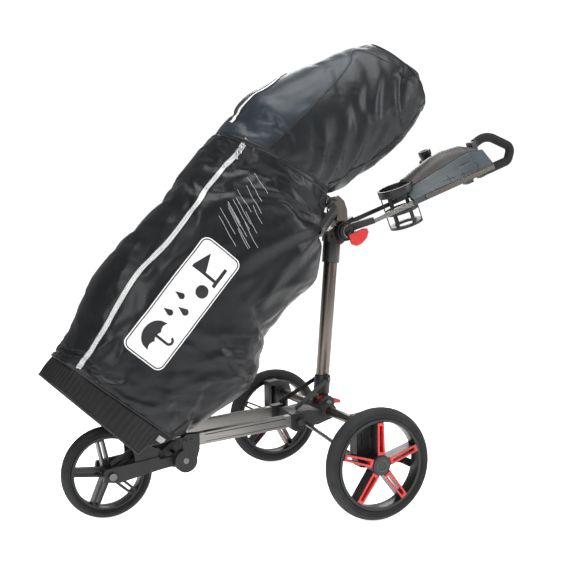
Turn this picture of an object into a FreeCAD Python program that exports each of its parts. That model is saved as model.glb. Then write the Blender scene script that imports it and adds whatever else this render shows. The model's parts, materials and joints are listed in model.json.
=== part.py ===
import FreeCAD, Part
import math
import os

# Golf bag in a rain cover, strapped to a three-wheeled push cart.
# Millimetres, +Z up, ground at Z = 0, cart symmetric about Y = 0.
# The front wheel points to -X, the handle to +X and the left side is -Y.
# The model is laid out with X = 0 on the rear axle, and every piece is moved
# by SHIFT_X on saving so that the origin is the centre of the footprint.

# ---- driving dimensions -------------------------------------------------
REAR_R = 145.0            # rear tyre radius
FRONT_R = 120.0           # front tyre radius
WHEELBASE = 617.0         # rear axle to front axle
TRACK = 658.0             # between the middles of the rear tyres
TYRE_W = 48.0             # width of every tyre
RAIL_Y = 65.0             # middle of each lower rail
RAIL_W, RAIL_H = 20.0, 32.0
TUBE_R = 19.0             # upright tube
BAG_ANGLE = 52.0          # bag axis above the ground, degrees
BAG_FOOT = (-640.0, 255.0)    # X, Z where the bag axis starts
HANDLE_PIVOT = (68.0, 727.0)  # X, Z of the handle hinge
HANDLE_ANGLE = 20.5       # handle above the ground, degrees
CLOTH = 3.0               # thickness of the cover's cloth wall
RUN = 0.05                # radial running clearance
FIT = 0.02                # radial clearance of a fixed bolt or bearing
BOLT_R = 5.0              # frame bolts
GAP = 0.3                 # clearance between loose neighbours

# ---- values worked out from them ----------------------------------------
COS_H = math.cos(math.radians(HANDLE_ANGLE))
SIN_H = math.sin(math.radians(HANDLE_ANGLE))
COS_B = math.cos(math.radians(BAG_ANGLE))
SIN_B = math.sin(math.radians(BAG_ANGLE))
SKIRT_FRONT = -780.5      # foremost edge of the cover
REAR_END = 662.0          # hindmost edge of the grip
SHIFT_X = -(SKIRT_FRONT + REAR_END) / 2
WHEEL_Y = TRACK / 2
Y_AXIS = FreeCAD.Vector(0, 1, 0)
Z_AXIS = FreeCAD.Vector(0, 0, 1)
SIDES = (("left", -1), ("right", 1))


# ---- helpers ------------------------------------------------------------
def vec(x, y, z):
    return FreeCAD.Vector(x, y, z)


def box(x0, x1, y0, y1, z0, z1):
    y0, y1 = min(y0, y1), max(y0, y1)
    return Part.makeBox(x1 - x0, y1 - y0, z1 - z0, vec(x0, y0, z0))


def rod(p, q, r):
    """Round bar from p to q."""
    p, q = vec(*p), vec(*q)
    return Part.makeCylinder(r, (q - p).Length, p, q - p)


def pipe(p, q, r_out, r_in):
    return rod(p, q, r_out).cut(rod(p, q, r_in))


def disc(x, z, r, y0, y1):
    """Disc about a Y axis through (x, z)."""
    y0, y1 = min(y0, y1), max(y0, y1)
    return rod((x, y0, z), (x, y1, z), r)


def ring(x, z, r_out, r_in, y0, y1):
    return disc(x, z, r_out, y0, y1).cut(disc(x, z, r_in, y0, y1))


def plate(points, y0, y1):
    """Flat plate with an outline in X, Z between two Y values."""
    y0, y1 = min(y0, y1), max(y0, y1)
    corners = [vec(x, y0, z) for x, z in points]
    face = Part.Face(Part.makePolygon(corners + corners[:1]))
    return face.extrude(vec(0, y1 - y0, 0))


def bar(p, q, width, thickness, side):
    """Rectangular bar from p to q; its thickness lies along side."""
    p, q = vec(*p), vec(*q)
    along = vec(*(q - p)).normalize()
    across = along.cross(vec(*side)).normalize()
    flat = across.cross(along).normalize()
    a, b = across * (width / 2), flat * (thickness / 2)
    corners = [p + a + b, p - a + b, p - a - b, p + a - b]
    face = Part.Face(Part.makePolygon(corners + corners[:1]))
    return face.extrude(q - p)


def join(shapes):
    first, rest = shapes[0], list(shapes[1:])
    return first.fuse(rest).removeSplitter() if rest else first


def soften(shape, radius, pick):
    """Round the edges that pick() chooses; keep the shape if it refuses."""
    edges = [e for e in shape.Edges if pick(e)]
    rounded = shape.makeFillet(radius, edges)
    return rounded if rounded.isValid() and rounded.Volume > 0 else shape


def mirrored(shape):
    return shape.mirror(vec(0, 0, 0), Y_AXIS)


def pair(shape):
    """A right-hand piece and its left-hand mirror image."""
    return [shape, mirrored(shape)]


def save(name, *shapes):
    solids = [s for shape in shapes for s in shape.Solids]
    group = Part.makeCompound(solids) if len(solids) > 1 else solids[0]
    group = group.copy()
    group.translate(vec(SHIFT_X, 0, 0))
    group.exportStep("parts/%s.step" % name)


def on_handle(shape):
    """From the handle's own frame (X along it, Z up from it) to the cart."""
    placed = shape.copy()
    placed.rotate(vec(0, 0, 0), Y_AXIS, -HANDLE_ANGLE)
    placed.translate(vec(HANDLE_PIVOT[0], 0, HANDLE_PIVOT[1]))
    return placed


def bag_point(s, t):
    """X, Z at s along the bag axis and t behind it."""
    x = BAG_FOOT[0] + s * COS_B + t * SIN_B
    z = BAG_FOOT[1] + s * SIN_B - t * COS_B
    return x, z


def bag_vec(s, y, t):
    x, z = bag_point(s, t)
    return vec(x, y, z)


# ---- wheels -------------------------------------------------------------
GROOVES = (-17.0, -11.0, -4.0, 4.0, 11.0, 17.0)   # tread grooves across it


def tyre(x, y, z, r_out, r_in):
    """Soft tyre: round crown with shallow grooves, turned about Y."""
    half = TYRE_W / 2
    crown = []
    steps = 24
    for i in range(steps + 1):
        w = -half + TYRE_W * i / steps
        drop = 17.0 * abs(w / half) ** 2.6
        groove = 1.3 if min(abs(w - g) for g in GROOVES) < 0.9 else 0.0
        crown.append((w, r_out - drop - groove))
    outline = [(-16.0, r_in), (-half + 1.0, r_in + 7.0)] + crown
    outline += [(half - 1.0, r_in + 7.0), (16.0, r_in)]
    corners = [vec(x, y + w, z + r) for w, r in outline]
    face = Part.Face(Part.makePolygon(corners + corners[:1]))
    return face.revolve(vec(x, y, z), Y_AXIS, 360)


def wheel_blank(x, y, z, rim_in, rim_out, hub_r):
    """Rim band and hub of one wheel."""
    rim = ring(x, z, rim_out, rim_in, y - 19, y + 19)
    hub = disc(x, z, hub_r, y - HUB_HALF, y + HUB_HALF)
    return [rim, hub]


def bored(body, x, y, z):
    """Bore a wheel for its axle and for a bearing at each end."""
    body = body.cut(disc(x, z, HUB_BORE_R, y - 30, y + 30))
    for end in (-1, 1):
        seat = y + end * (HUB_HALF - BEARING_W)
        body = body.cut(disc(x, z, BEARING_R, seat, y + end * 30.0))
    return body


def bearings(x, y, z):
    inner = HUB_HALF - BEARING_W + 0.2
    return [ring(x, z, BEARING_R - FIT, AXLE_R + RUN, y + end * inner,
                 y + end * (HUB_HALF - 0.5)) for end in (-1, 1)]


def spoke_prism(x, z, angle, r0, r1, w0, w1, y0, y1):
    """Tapered bar along a radius, between two Y values."""
    c, s = math.cos(math.radians(angle)), math.sin(math.radians(angle))
    outline = []
    for r, w in ((r0, -w0), (r1, -w1), (r1, w1), (r0, w0)):
        outline.append((x + r * c - w / 2 * s, z + r * s + w / 2 * c))
    return plate(outline, y0, y1)


SPOKES = 5
REAR_RIM_IN, REAR_RIM_OUT = 110.0, 117.8
FRONT_RIM_IN, FRONT_RIM_OUT = 90.0, 96.8
AXLE_R = 6.0
BEARING_R = 14.0
HUB_BORE_R = 9.0
SPOKE_PHASE = {"left": 91.0, "right": 82.5, "front": 102.4}
HUB_HALF = 21.0
BEARING_W = 9.0


def rear_wheel(name, side):
    y = side * WHEEL_Y
    z = REAR_R
    outside = y + side * 20.0          # plane of the spokes' outer edges
    save(name + "_tyre", tyre(0, y, z, REAR_R, REAR_RIM_OUT + 0.2))
    pieces = wheel_blank(0, y, z, REAR_RIM_IN, REAR_RIM_OUT, 26.0)
    inserts = []
    for k in range(SPOKES):
        angle = SPOKE_PHASE[name] + 360.0 / SPOKES * k
        block = spoke_prism(0, z, angle, 20, REAR_RIM_IN + 2, 21, 17.6,
                            y - side * 16.0, outside)
        slot = spoke_prism(0, z, angle, 32, REAR_RIM_IN - 6, 14, 11,
                           y - side * 17.0, outside + side)
        pieces.append(block.cut(slot))
        frame = spoke_prism(0, z, angle, 27, REAR_RIM_IN - 1, 21, 17.6,
                            outside, outside + side * 2.5)
        liner = spoke_prism(0, z, angle, 32.4, REAR_RIM_IN - 6.4, 13.4, 10.4,
                            outside - side * 14.0, outside + side * 0.5)
        hollow = spoke_prism(0, z, angle, 34.4, REAR_RIM_IN - 8.4, 10.4, 7.6,
                             outside - side * 15.0, outside + side * 4.0)
        inserts.append(frame.fuse(liner).cut(hollow).removeSplitter())
    save(name + "_wheel", bored(join(pieces), 0, y, z))
    save(name + "_spoke_inserts", *inserts)
    save(name + "_bearings", *bearings(0, y, z))
    cap_y = y + side * HUB_HALF
    cap = disc(0, z, 24.0, cap_y, cap_y + side * 3.0)
    cap = soften(cap, 2.0, lambda e: abs(e.CenterOfMass.y - cap_y) > 2.5)
    save(name + "_hub_cap", cap)


def rear_axles():
    axle = disc(0, REAR_R, AXLE_R, KNUCKLE_OUT, WHEEL_Y + HUB_HALF - 0.5)
    save("rear_axles", *pair(axle))


def front_wheel():
    x, z = -WHEELBASE, FRONT_R
    save("front_tyre", tyre(x, 0, z, FRONT_R, FRONT_RIM_OUT + 0.2))
    pieces = wheel_blank(x, 0, z, FRONT_RIM_IN, FRONT_RIM_OUT, 19.0)
    for k in range(SPOKES):
        angle = SPOKE_PHASE["front"] + 360.0 / SPOKES * k
        block = spoke_prism(x, z, angle, 14, FRONT_RIM_IN + 2, 21, 19,
                            -16.0, 16.0)
        slot = spoke_prism(x, z, angle, 23, FRONT_RIM_IN - 4, 7.5, 7.5,
                           -17.0, 17.0)
        pieces.append(block.cut(slot))
    save("front_wheel", bored(join(pieces), x, 0, z))
    save("front_bearings", *bearings(x, 0, z))


# ---- front fork and hinge -----------------------------------------------
HINGE = (-426.0, 143.0)       # X, Z of the front fold hinge
ARM_IN, ARM_OUT = 41.0, 55.0  # Y limits of a fork arm


def front_fork():
    x, z = -WHEELBASE, FRONT_R
    outline = [(-640, 107), (-634, 139), (-493, 157), (-489, 150),
               (-455, 153), (-455, 128), (-489, 123), (-600, 101)]
    arm = plate(outline, ARM_IN, ARM_OUT)
    arm = arm.fuse(disc(*HINGE, 26.0, ARM_IN, ARM_OUT))
    arm = arm.fuse(plate([(-460, 127), (-460, 153), (-430, 166),
                          (-430, 120)], ARM_IN, ARM_OUT))
    arm = arm.cut(disc(*HINGE, BOLT_R, 30, 60))
    arm = arm.cut(disc(x, z, AXLE_R, 30, 60)).removeSplitter()
    bridge = box(-486, -464, -ARM_IN, ARM_IN, 128, 150)
    bridge = soften(bridge, 4.0, lambda e: e.Length > 70)
    save("front_fork", *pair(arm), bridge)
    axle = disc(x, z, AXLE_R, -ARM_OUT - 8, ARM_OUT + 8)
    nuts = []
    for end in (-1, 1):
        spacer = ring(x, z, 11.0, AXLE_R, end * (HUB_HALF + 1), end * ARM_IN)
        nut = ring(x, z, 10.0, AXLE_R, end * ARM_OUT, end * (ARM_OUT + 8))
        nuts += [spacer, nut]
    save("front_axle", axle, *nuts)


def front_hinge():
    outline = [(-434, 165), (-434, 205), (-427, 213), (-389, 213),
               (-389, 172), (-396, 150)]
    cheek = plate(outline, 57, 78)
    cheek = cheek.fuse(disc(*HINGE, 30.0, 57, 78))
    cheek = cheek.fuse(plate([(-456, 143), (-434, 172), (-396, 165),
                              (-396, 143)], 57, 78))
    cheek = cheek.cut(disc(*HINGE, BOLT_R, 50, 90))
    cheek = cheek.cut(disc(*HINGE, 9.0, 73, 90))
    for bolt_x in (-428, -409):
        cheek = cheek.cut(disc(bolt_x, 198, 4.5, 75, 90))
    save("front_hinge_brackets", *pair(cheek.removeSplitter()))
    bolt = disc(*HINGE, BOLT_R - FIT, -74, 74)
    heads = [disc(*HINGE, 8.0, s * 73.2, s * 77.0) for s in (-1, 1)]
    save("front_hinge_bolt", join([bolt] + heads))


def bag_cradle():
    """Lower bracket that the bag's foot stands in."""
    heel = plate([(-497, 159.5), (-478, 158.5), (-447, 184), (-452, 190),
                  (-480, 168), (-494, 182), (-499, 178)], -38, 38)
    ears = []
    for side in (-1, 1):
        ear = plate([(-556, 149.6), (-494, 157.6), (-494, 178),
                     (-552, 203), (-560, 200)], side * 44, side * 52)
        ears.append(ear)
    tie = plate([(-498, 158.5), (-491, 159.5), (-491, 180), (-498, 178)],
                -44, 44)
    save("bag_cradle", join([tie] + ears + [heel]))


# ---- lower rails and rear frame -----------------------------------------
RAIL_FRONT, RAIL_REAR = (-389.0, 196.5), (-125.0, 217.0)
RAIL_BOLT = (-100.0, 214.0)
FOLD_HINGE = (10.0, 247.0)
BRAKE_PIN, BRAKE_PIN_R = (38.0, 150.0), 4.0
HUB_Z = 230.0                 # height of the leg tubes
LEG_R = 13.0
KNUCKLE_IN, KNUCKLE_OUT = 262.0, 300.0


def rails():
    """Box-section aluminium rails with a shallow groove outside."""
    (x0, z0), (x1, z1) = RAIL_FRONT, RAIL_REAR
    h = RAIL_H / 2
    outline = [(x0, z0 - h), (x1, z1 - h), (x1, z1 + h), (x0, z0 + h)]
    rail = plate(outline, RAIL_Y - RAIL_W / 2, RAIL_Y + RAIL_W / 2)
    bore = [(x0 - 1, z0 - h + 2.5), (x1 + 1, z1 - h + 2.5),
            (x1 + 1, z1 + h - 2.5), (x0 - 1, z0 + h - 2.5)]
    rail = rail.cut(plate(bore, RAIL_Y - 7.5, RAIL_Y + 7.5))
    long_edges = lambda e: e.Length > 200
    save("rails", *pair(soften(rail, 1.0, long_edges)))


def rail_ends():
    """Black end brackets that join the rails to the rear housing.

    Returns the bolt that holds them.
    """
    outline = [(-125, 197), (-112, 188), (-88, 192), (-84, 226),
               (-92, 240), (-125, 236)]
    block = plate(outline, 50, 78)
    block = block.cut(disc(*RAIL_BOLT, BOLT_R, 40, 90))
    save("rail_ends", *pair(soften(block, 2.0, lambda e: e.Length > 27)))
    bolt = disc(*RAIL_BOLT, BOLT_R - FIT, -84, 84)
    knobs = [disc(*RAIL_BOLT, 10.0, s * 78, s * 88) for s in (-1, 1)]
    return join([bolt] + knobs)


def rear_housing():
    """Casting that carries the rails, the legs and the fold hinge."""
    outline = [(-108, 202), (-96, 196), (-30, 192), (16, 206), (16, 236),
               (-30, 232), (-60, 236), (-108, 232)]
    core = plate(outline, -44, 44)
    core = core.fuse(rod((0, -62, HUB_Z), (0, 62, HUB_Z), 19.0))
    for side in (-1, 1):
        core = core.fuse(disc(*FOLD_HINGE, 21.0, side * 19, side * 29))
        core = core.fuse(plate([(-24, 225), (-8, 258), (10, 240),
                                (28, 236), (10, 222)], side * 19, side * 29))
        core = core.fuse(disc(*RAIL_BOLT, 9.0, side * 44, side * 50))
        core = core.fuse(disc(0, HUB_Z, 21.5, side * 52, side * 60))
    core = core.cut(disc(*FOLD_HINGE, 26.5, -18.7, 18.7))
    core = core.cut(disc(*FOLD_HINGE, BOLT_R, -40, 40))
    for side in (-1, 1):
        core = core.cut(disc(*FOLD_HINGE, 9.5, side * 29, side * 36))
    core = core.cut(disc(*RAIL_BOLT, BOLT_R, -60, 60))
    core = core.cut(rod((0, -64, HUB_Z), (0, -36, HUB_Z), LEG_R))
    core = core.cut(rod((0, 36, HUB_Z), (0, 64, HUB_Z), LEG_R))
    save("rear_housing", core.removeSplitter())


def rear_legs():
    leg = pipe((0, 36, HUB_Z), (0, KNUCKLE_IN + 14, HUB_Z), LEG_R, 10.5)
    save("leg_tubes", *pair(leg))
    outline = [(-44, 158), (-34, 132), (10, 124), (30, 136), (30, 236),
               (22, 258), (-12, 268), (-44, 264)]
    knuckle = plate(outline, KNUCKLE_IN, KNUCKLE_OUT)
    pocket = plate([(-36, 168), (-22, 160), (-22, 250), (-36, 252)],
                   KNUCKLE_IN - 1, KNUCKLE_OUT - 8)
    knuckle = knuckle.cut(pocket)
    for slot_x, low, high in ((-31, 190, 218), (-4, 172, 205)):
        slot = box(slot_x - 2.5, slot_x + 2.5, 250, 310, low, high)
        knuckle = knuckle.cut(slot)
    knuckle = knuckle.cut(box(14, 32, 258, 286, 166, 226))
    collar = rod((0, KNUCKLE_IN - 12, HUB_Z), (0, KNUCKLE_IN, HUB_Z), 18.0)
    knuckle = knuckle.fuse(collar)
    knuckle = knuckle.cut(rod((0, KNUCKLE_IN - 13, HUB_Z),
                              (0, KNUCKLE_IN + 14, HUB_Z), LEG_R))
    knuckle = knuckle.cut(box(-20, 12, 260, 291, 170, 206))
    save("knuckles", *pair(knuckle.removeSplitter()))
    strut = rod((-66, 52, 199), (-47, 258, 163), 5.5)
    save("struts", *pair(strut))


def brake():
    """Foot brake behind the left rear wheel."""
    lug = plate([(30, 138), (46, 140), (46, 160), (30, 164)], -274, -268)
    lug = lug.cut(disc(*BRAKE_PIN, BRAKE_PIN_R, -280, -260))
    pin = disc(*BRAKE_PIN, BRAKE_PIN_R, -294, -266)
    save("brake_mount", join([lug, pin]))
    arm = plate([(38, 143.5), (38, 156.5), (46, 159), (98, 143), (124, 128),
                 (121, 115), (100, 124), (46, 140)], -288, -280)
    arm = arm.fuse(disc(*BRAKE_PIN, 6.5, -288, -280))
    pad = plate([(96, 126), (98, 146), (127, 131), (124, 113),
                 (112, 116)], -298, -262)
    bore = disc(*BRAKE_PIN, BRAKE_PIN_R + RUN, -300, -260)
    pedal = arm.fuse(pad).cut(bore)
    save("brake_pedal", pedal.removeSplitter())


# ---- upright ------------------------------------------------------------
LEAN = math.atan((37.0 - 7.3) / (643.0 - 307.0))    # upright leans back


def upright_x(z):
    return 7.3 + (z - 307.0) * math.tan(LEAN)


def upright_rod(z0, z1, r):
    return rod((upright_x(z0), 0, z0), (upright_x(z1), 0, z1), r)


BRACE_TOP = (12.0, 315.0)
SADDLE_T = 111.0              # axis of the saddle behind the bag's reference
STRAP_LOOP = (-36.0, -116.0, 812.0)
STRAP_R = 2.5


def upright():
    """Upright tube and its foot. Returns the bolt of its fold hinge."""
    save("upright_tube", upright_rod(292, 700, TUBE_R).cut(
        upright_rod(280, 710, TUBE_R - 2.0)))
    collar = upright_rod(273, 322, 22.5).cut(upright_rod(292, 323, TUBE_R))
    tongue = plate([(-9, 275), (-4, 247), (10, 233), (24, 247), (22, 275)],
                   -8, 8)
    tongue = tongue.fuse(disc(*FOLD_HINGE, 14.0, -8, 8))
    ears = box(BRACE_TOP[0] - 9, BRACE_TOP[0] + 9, -25, 25, 306, 324)
    ears = ears.cut(upright_rod(292, 330, TUBE_R))
    collar = join([collar, tongue, ears])
    collar = collar.cut(disc(*FOLD_HINGE, BOLT_R, -40, 40))
    save("upright_foot", collar)
    bolt = disc(*FOLD_HINGE, BOLT_R - FIT, -34, 34)
    heads = [disc(*FOLD_HINGE, 9.0, s * 29, s * 35) for s in (-1, 1)]
    return join([bolt] + heads)


def braces():
    """Flat stays from the upright down to the rail ends.

    Returns the screws at their upper ends.
    """
    x, z = BRACE_TOP
    stay = bar((x, 27.5, z), (-102, 54.0, 245.0), 12.0, 4.0, (0, 1, 0))
    save("right_brace", stay)
    save("left_brace", mirrored(stay))
    return [disc(x, z, 4.5, s * 31, s * 36) for s in (-1, 1)]


def fold_release():
    """Red sprung lever between the hinge cheeks that frees the fold."""
    cx, cz = FOLD_HINGE
    pieces = []
    for side in (-1, 1):
        cheek = ring(cx, cz, 13.0, BOLT_R + RUN, side * 9, side * 17)
        arm = plate([(20, 240), (20, 254), (44, 252), (46, 243)],
                    side * 9, side * 17)
        horn = plate([(-1, 250), (-10, 261), (-4, 267), (8, 268),
                      (14, 258)], side * 9, side * 17)
        pieces += [cheek, arm, horn]
    pieces.append(plate([(38, 242), (38, 254), (56, 250), (56, 241)],
                        -17, 17))
    lever = join(pieces).cut(disc(cx, cz, BOLT_R + RUN, -20, 20))
    save("fold_release_lever", lever)


# ---- upper elbow and bag bracket ----------------------------------------
def elbow_neck():
    return plate([(20, 700), (62, 690), (84, 708), (80, 740), (44, 742),
                  (22, 728)], -19.5, 19.5)


def elbow():
    px, pz = HANDLE_PIVOT
    sleeve = upright_rod(640, 716, 24.5).cut(upright_rod(640, 701, TUBE_R))
    neck = elbow_neck()
    barrel = disc(px, pz, 24.0, -19.5, 19.5)
    block = join([sleeve, neck, barrel])
    block = block.cut(disc(px, pz, 6.0, -30, 30))
    block = block.cut(upright_rod(630, 701, TUBE_R))
    for side in (-1, 1):
        block = block.cut(disc(px, pz, 28.5, side * 19.5, side * 30))
    save("elbow", block)
    save("handle_hinge_bolt", disc(px, pz, 5.95, -36.2, 42))


def bag_bracket():
    """Bronze post and black saddle that the top of the bag rests on."""
    px, pz = HANDLE_PIVOT
    foot = plate([(46, 742), (80, 742), (79, 758), (45, 758)], -18.5, 18.5)
    post = plate([(43, 756), (79, 756), (77, 788), (68, 812), (50, 827),
                  (38, 822), (40, 800), (50, 780)], -26, 26)
    post = soften(post, 3.0, lambda e: e.Length > 50)
    post = join([foot, post]).cut(disc(px, pz, 24.2, -20, 20))
    save("bracket_post", post.cut(elbow_neck()))
    top = FreeCAD.Vector(COS_B, 0, SIN_B)
    start = bag_vec(754, 0, SADDLE_T)
    saddle = Part.makeCylinder(112, 76, start, top).cut(
        Part.makeCylinder(104, 76, start, top))
    keep = Part.makeBox(140, 172, 200, vec(0, -86, 0))
    keep.rotate(vec(0, 0, 0), Y_AXIS, 90 - BAG_ANGLE)
    keep.translate(bag_vec(740, 0, SADDLE_T + 52))
    saddle = saddle.common(keep)
    link = plate([(30, 770), (49, 781), (39.5, 800), (30, 806)], -22, 22)
    link = link.cut(Part.makeCylinder(112, 200, start - top * 60, top))
    x, y, z = STRAP_LOOP
    lug = rod((10, -86, z), (x + 14, y + 4, z), 5.0)
    lug = lug.cut(strap_ring(STRAP_R + 0.1))
    save("bag_saddle", join([saddle, link, lug]))
    save("strap_loop", strap_ring(STRAP_R))


def strap_ring(r):
    """Cord loop that the bag's elastic strap hooks on."""
    return Part.makeTorus(15.0, r, vec(*STRAP_LOOP), vec(-0.30, -0.95, 0))


# ---- handle, in its own frame (X along it, Z up from it) ----------------
CUP = (208.0, 46.0)           # cup holder: distance along, inner radius
CONSOLE_START, CONSOLE_END = 216.0, 506.0
CONSOLE_HOOKS = ((438, 462, 12, 28), (488, 505, 9, 27))


def handle_yoke():
    cheek = disc(0, 0, 27.0, 20.0, 36.0)
    near = [(20, -7), (36, -7), (36, 14), (20, 14), (20, -7)]
    far = [(52, -6), (69, -6), (69, 12), (52, 12), (52, -6)]
    ends = [Part.makePolygon([vec(22.5, y, v) for y, v in near]),
            Part.makePolygon([vec(78, y, v) for y, v in far])]
    prong = Part.makeLoft(ends, True, True)
    yoke = cheek.fuse(prong).cut(disc(0, 0, 6.0, 10, 40)).removeSplitter()
    save("yokes", *pair(on_handle(yoke)))


def handle_arms():
    arm = box(78, 232, 55, 67, -6, 7)
    for low in (-2.6, 1.6):
        arm = arm.cut(box(76, 240, 65.8, 68, low, low + 2.0))
    save("right_handle_arm", on_handle(arm))
    save("left_handle_arm", mirrored(on_handle(arm)))


def console_top(u):
    """Height of the console's flat top along the handle."""
    if u < 450:
        return 48.0 + (u - 298.0) * 0.119
    return 66.0 - (u - 450.0) * 0.18


def console_section(u):
    half = [(70.0, -6.0), (70.0, 11.0), (36.0, console_top(u))]
    points = [vec(u, y, z) for y, z in half]
    points += [vec(u, -y, z) for y, z in reversed(half)]
    return Part.makePolygon(points + points[:1])


def console_solid():
    stations = (CONSOLE_START, 298, 450, CONSOLE_END)
    return Part.makeLoft([console_section(u) for u in stations], True, True)


def console():
    shell = console_solid()
    cup_wall = CUP[1] + 6.0
    shell = shell.cut(rod((CUP[0], 0, -20), (CUP[0], 0, 90), cup_wall + GAP))
    shell = shell.cut(box(200, 272, -55, 55, -10, 8))
    shell = shell.cut(box(200, 233, 54.5, 67.5, -10, 8))
    shell = shell.cut(box(200, 233, -67.5, -54.5, -10, 8))
    tray = box(276, 440, -30, 30, 12, 90)
    shell = shell.cut(tray)
    slot = bar((310, -56, 36), (440, -56, 38), 4.0, 12.0, (0, 0.8, 0.6))
    shell = shell.cut(slot)
    shell = shell.fuse(box(490, CONSOLE_END, -15, 15, 50, 84))
    for start, end, half, drop in CONSOLE_HOOKS:
        shell = shell.fuse(box(start, end, -half, half, -drop, -6))
    for start, end in HINGE_LUGS:
        top = console_top(start)
        shell = shell.fuse(box(start, end, HINGE_Y - 2.7, HINGE_Y + 2.7,
                               top - 5, top + HINGE_RISE))
        shell = shell.fuse(hinge_rod(start, end, HINGE_BARREL_R))
    shell = shell.fuse(hinge_rod(HINGE_LUGS[0][0], HINGE_LUGS[1][1],
                                 HINGE_PIN_R))
    save("console", on_handle(shell.removeSplitter()))
    strip = box(256, CONSOLE_END - 2, 70, 72, -4, 8)
    save("console_strips", *pair(on_handle(strip)))


HINGE_Y = 37.5                # lid hinge, to the right of the middle
HINGE_RISE = 3.2              # its height above the console's top
HINGE_BARREL_R, HINGE_PIN_R = 3.0, 1.5
HINGE_LUGS = ((306.0, 322.0), (402.0, 418.0))    # on the console
HINGE_KNUCKLE = (324.0, 400.0)                   # on the lid


def hinge_rod(start, end, r):
    """Round bar on the lid hinge's axis."""
    return rod((start, HINGE_Y, console_top(start) + HINGE_RISE),
               (end, HINGE_Y, console_top(end) + HINGE_RISE), r)


LID_ARCH = ((242, 22), (300, 31), (350, 36), (390, 35), (450, 22), (488, 11))
LID_HALF = 34.0
LID_LIFT = 0.6                # gap under the closed lid


def lid_section(u, rise, inset):
    base = console_top(u) + LID_LIFT
    w = LID_HALF - inset
    peak = base + rise - inset
    left, right = vec(u, -w, base), vec(u, w, base)
    left_up = vec(u, -w, base + 4.0 - inset)
    right_up = vec(u, w, base + 4.0 - inset)
    arc = Part.Arc(left_up, vec(u, 0, peak), right_up).toShape()
    sides = [Part.makeLine(left, left_up), arc,
             Part.makeLine(right_up, right), Part.makeLine(right, left)]
    return Part.Wire(sides)


def console_lid():
    outer = Part.makeLoft([lid_section(u, r, 0) for u, r in LID_ARCH],
                          True, True)
    inner = [lid_section(u, r, 3.0) for u, r in LID_ARCH]
    hollow = Part.makeLoft(inner, True, True)
    hollow = hollow.common(box(246, 484, -40, 40, 0, 120))
    cup_top = rod((CUP[0], 0, 0), (CUP[0], 0, 54.8), CUP[1] + 7.0)
    lid = outer.cut(hollow).cut(cup_top)
    start, end = HINGE_KNUCKLE
    web = bar((start, 35.2, console_top(start) + HINGE_RISE),
              (end, 35.2, console_top(end) + HINGE_RISE), 2.4, 4.2, (0, 1, 0))
    lid = lid.fuse([web.cut(hollow), hinge_rod(start, end, HINGE_BARREL_R)])
    bore = hinge_rod(start - 2, end + 2, HINGE_PIN_R + RUN)
    save("console_lid", on_handle(lid.cut(bore).removeSplitter()))


def cup_holder():
    u, r = CUP
    band = pipe((u, 0, 32), (u, 0, 54), r + 6, r)
    belt = pipe((u, 0, -22), (u, 0, -10), r + 3, r)
    base = rod((u, 0, -64), (u, 0, -56), r + 3)
    base = base.cut(rod((u, 0, -65), (u, 0, -50), r - 12))
    ribs = []
    for k in range(6):
        a = math.radians(30 + 60 * k)
        rib = box(r + 0.0, r + 3.0, -5, 5, -58, 34)
        rib.rotate(vec(0, 0, 0), Z_AXIS, math.degrees(a))
        rib.translate(vec(u, 0, 0))
        ribs.append(rib)
    cage = join([band, belt, base] + ribs)
    cage = cage.cut(rod((u, 0, -55.5), (u, 0, 60), r))
    save("cup_holder", on_handle(cage))


GRIP_ROUTE = ((478.0, 68.0), (556.0, 85.0), (630.0, 20.0),
              (604.0, -14.0), (480.0, -14.0))
GRIP_RADII = (34.0, 16.0, 16.0)


def rounded_path(points, radii):
    """Straight runs joined by tangent arcs, in the handle's mid plane."""
    pts = [vec(u, 0, v) for u, v in points]
    edges, start = [], pts[0]
    for i, r in enumerate(radii, start=1):
        back = (pts[i - 1] - pts[i]).normalize()
        ahead = (pts[i + 1] - pts[i]).normalize()
        turn = math.pi - back.getAngle(ahead)
        reach = r * math.tan(turn / 2)
        a, b = pts[i] + back * reach, pts[i] + ahead * reach
        middle = (back + ahead).normalize()
        centre = pts[i] + middle * (r / math.cos(turn / 2))
        top = centre - middle * r
        edges.append(Part.makeLine(start, a))
        edges.append(Part.Arc(a, top, b).toShape())
        start = b
    edges.append(Part.makeLine(start, pts[-1]))
    return Part.Wire(edges)


def swept(path, r):
    edge = path.Edges[0]
    start = edge.valueAt(edge.FirstParameter)
    circle = Part.makeCircle(r, start, edge.tangentAt(edge.FirstParameter))
    return path.makePipeShell([Part.Wire(circle)], True, False)


def grip():
    """D-shaped loop: metal core inside a foam sleeve."""
    path = rounded_path(GRIP_ROUTE, GRIP_RADII)
    core = swept(path, 8.0)
    outside = box(CONSOLE_END, 700, -60, 60, -60, 140)
    core_out = core.common(outside)
    sleeve = swept(path, 13.5).cut(swept(path, 8.1)).common(
        box(CONSOLE_END + 1.0, 700, -60, 60, -60, 140))
    save("grip_core", on_handle(core_out))
    save("grip_foam", on_handle(sleeve))


CAM_Y, CAM_PIN_R = -51.0, 3.0
UMBRELLA = (393.0, 92.0)      # along the handle and to the right
UMBRELLA_R, UMBRELLA_BORE = 17.0, 11.0
UMBRELLA_PIVOT_Z = 30.0


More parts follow.
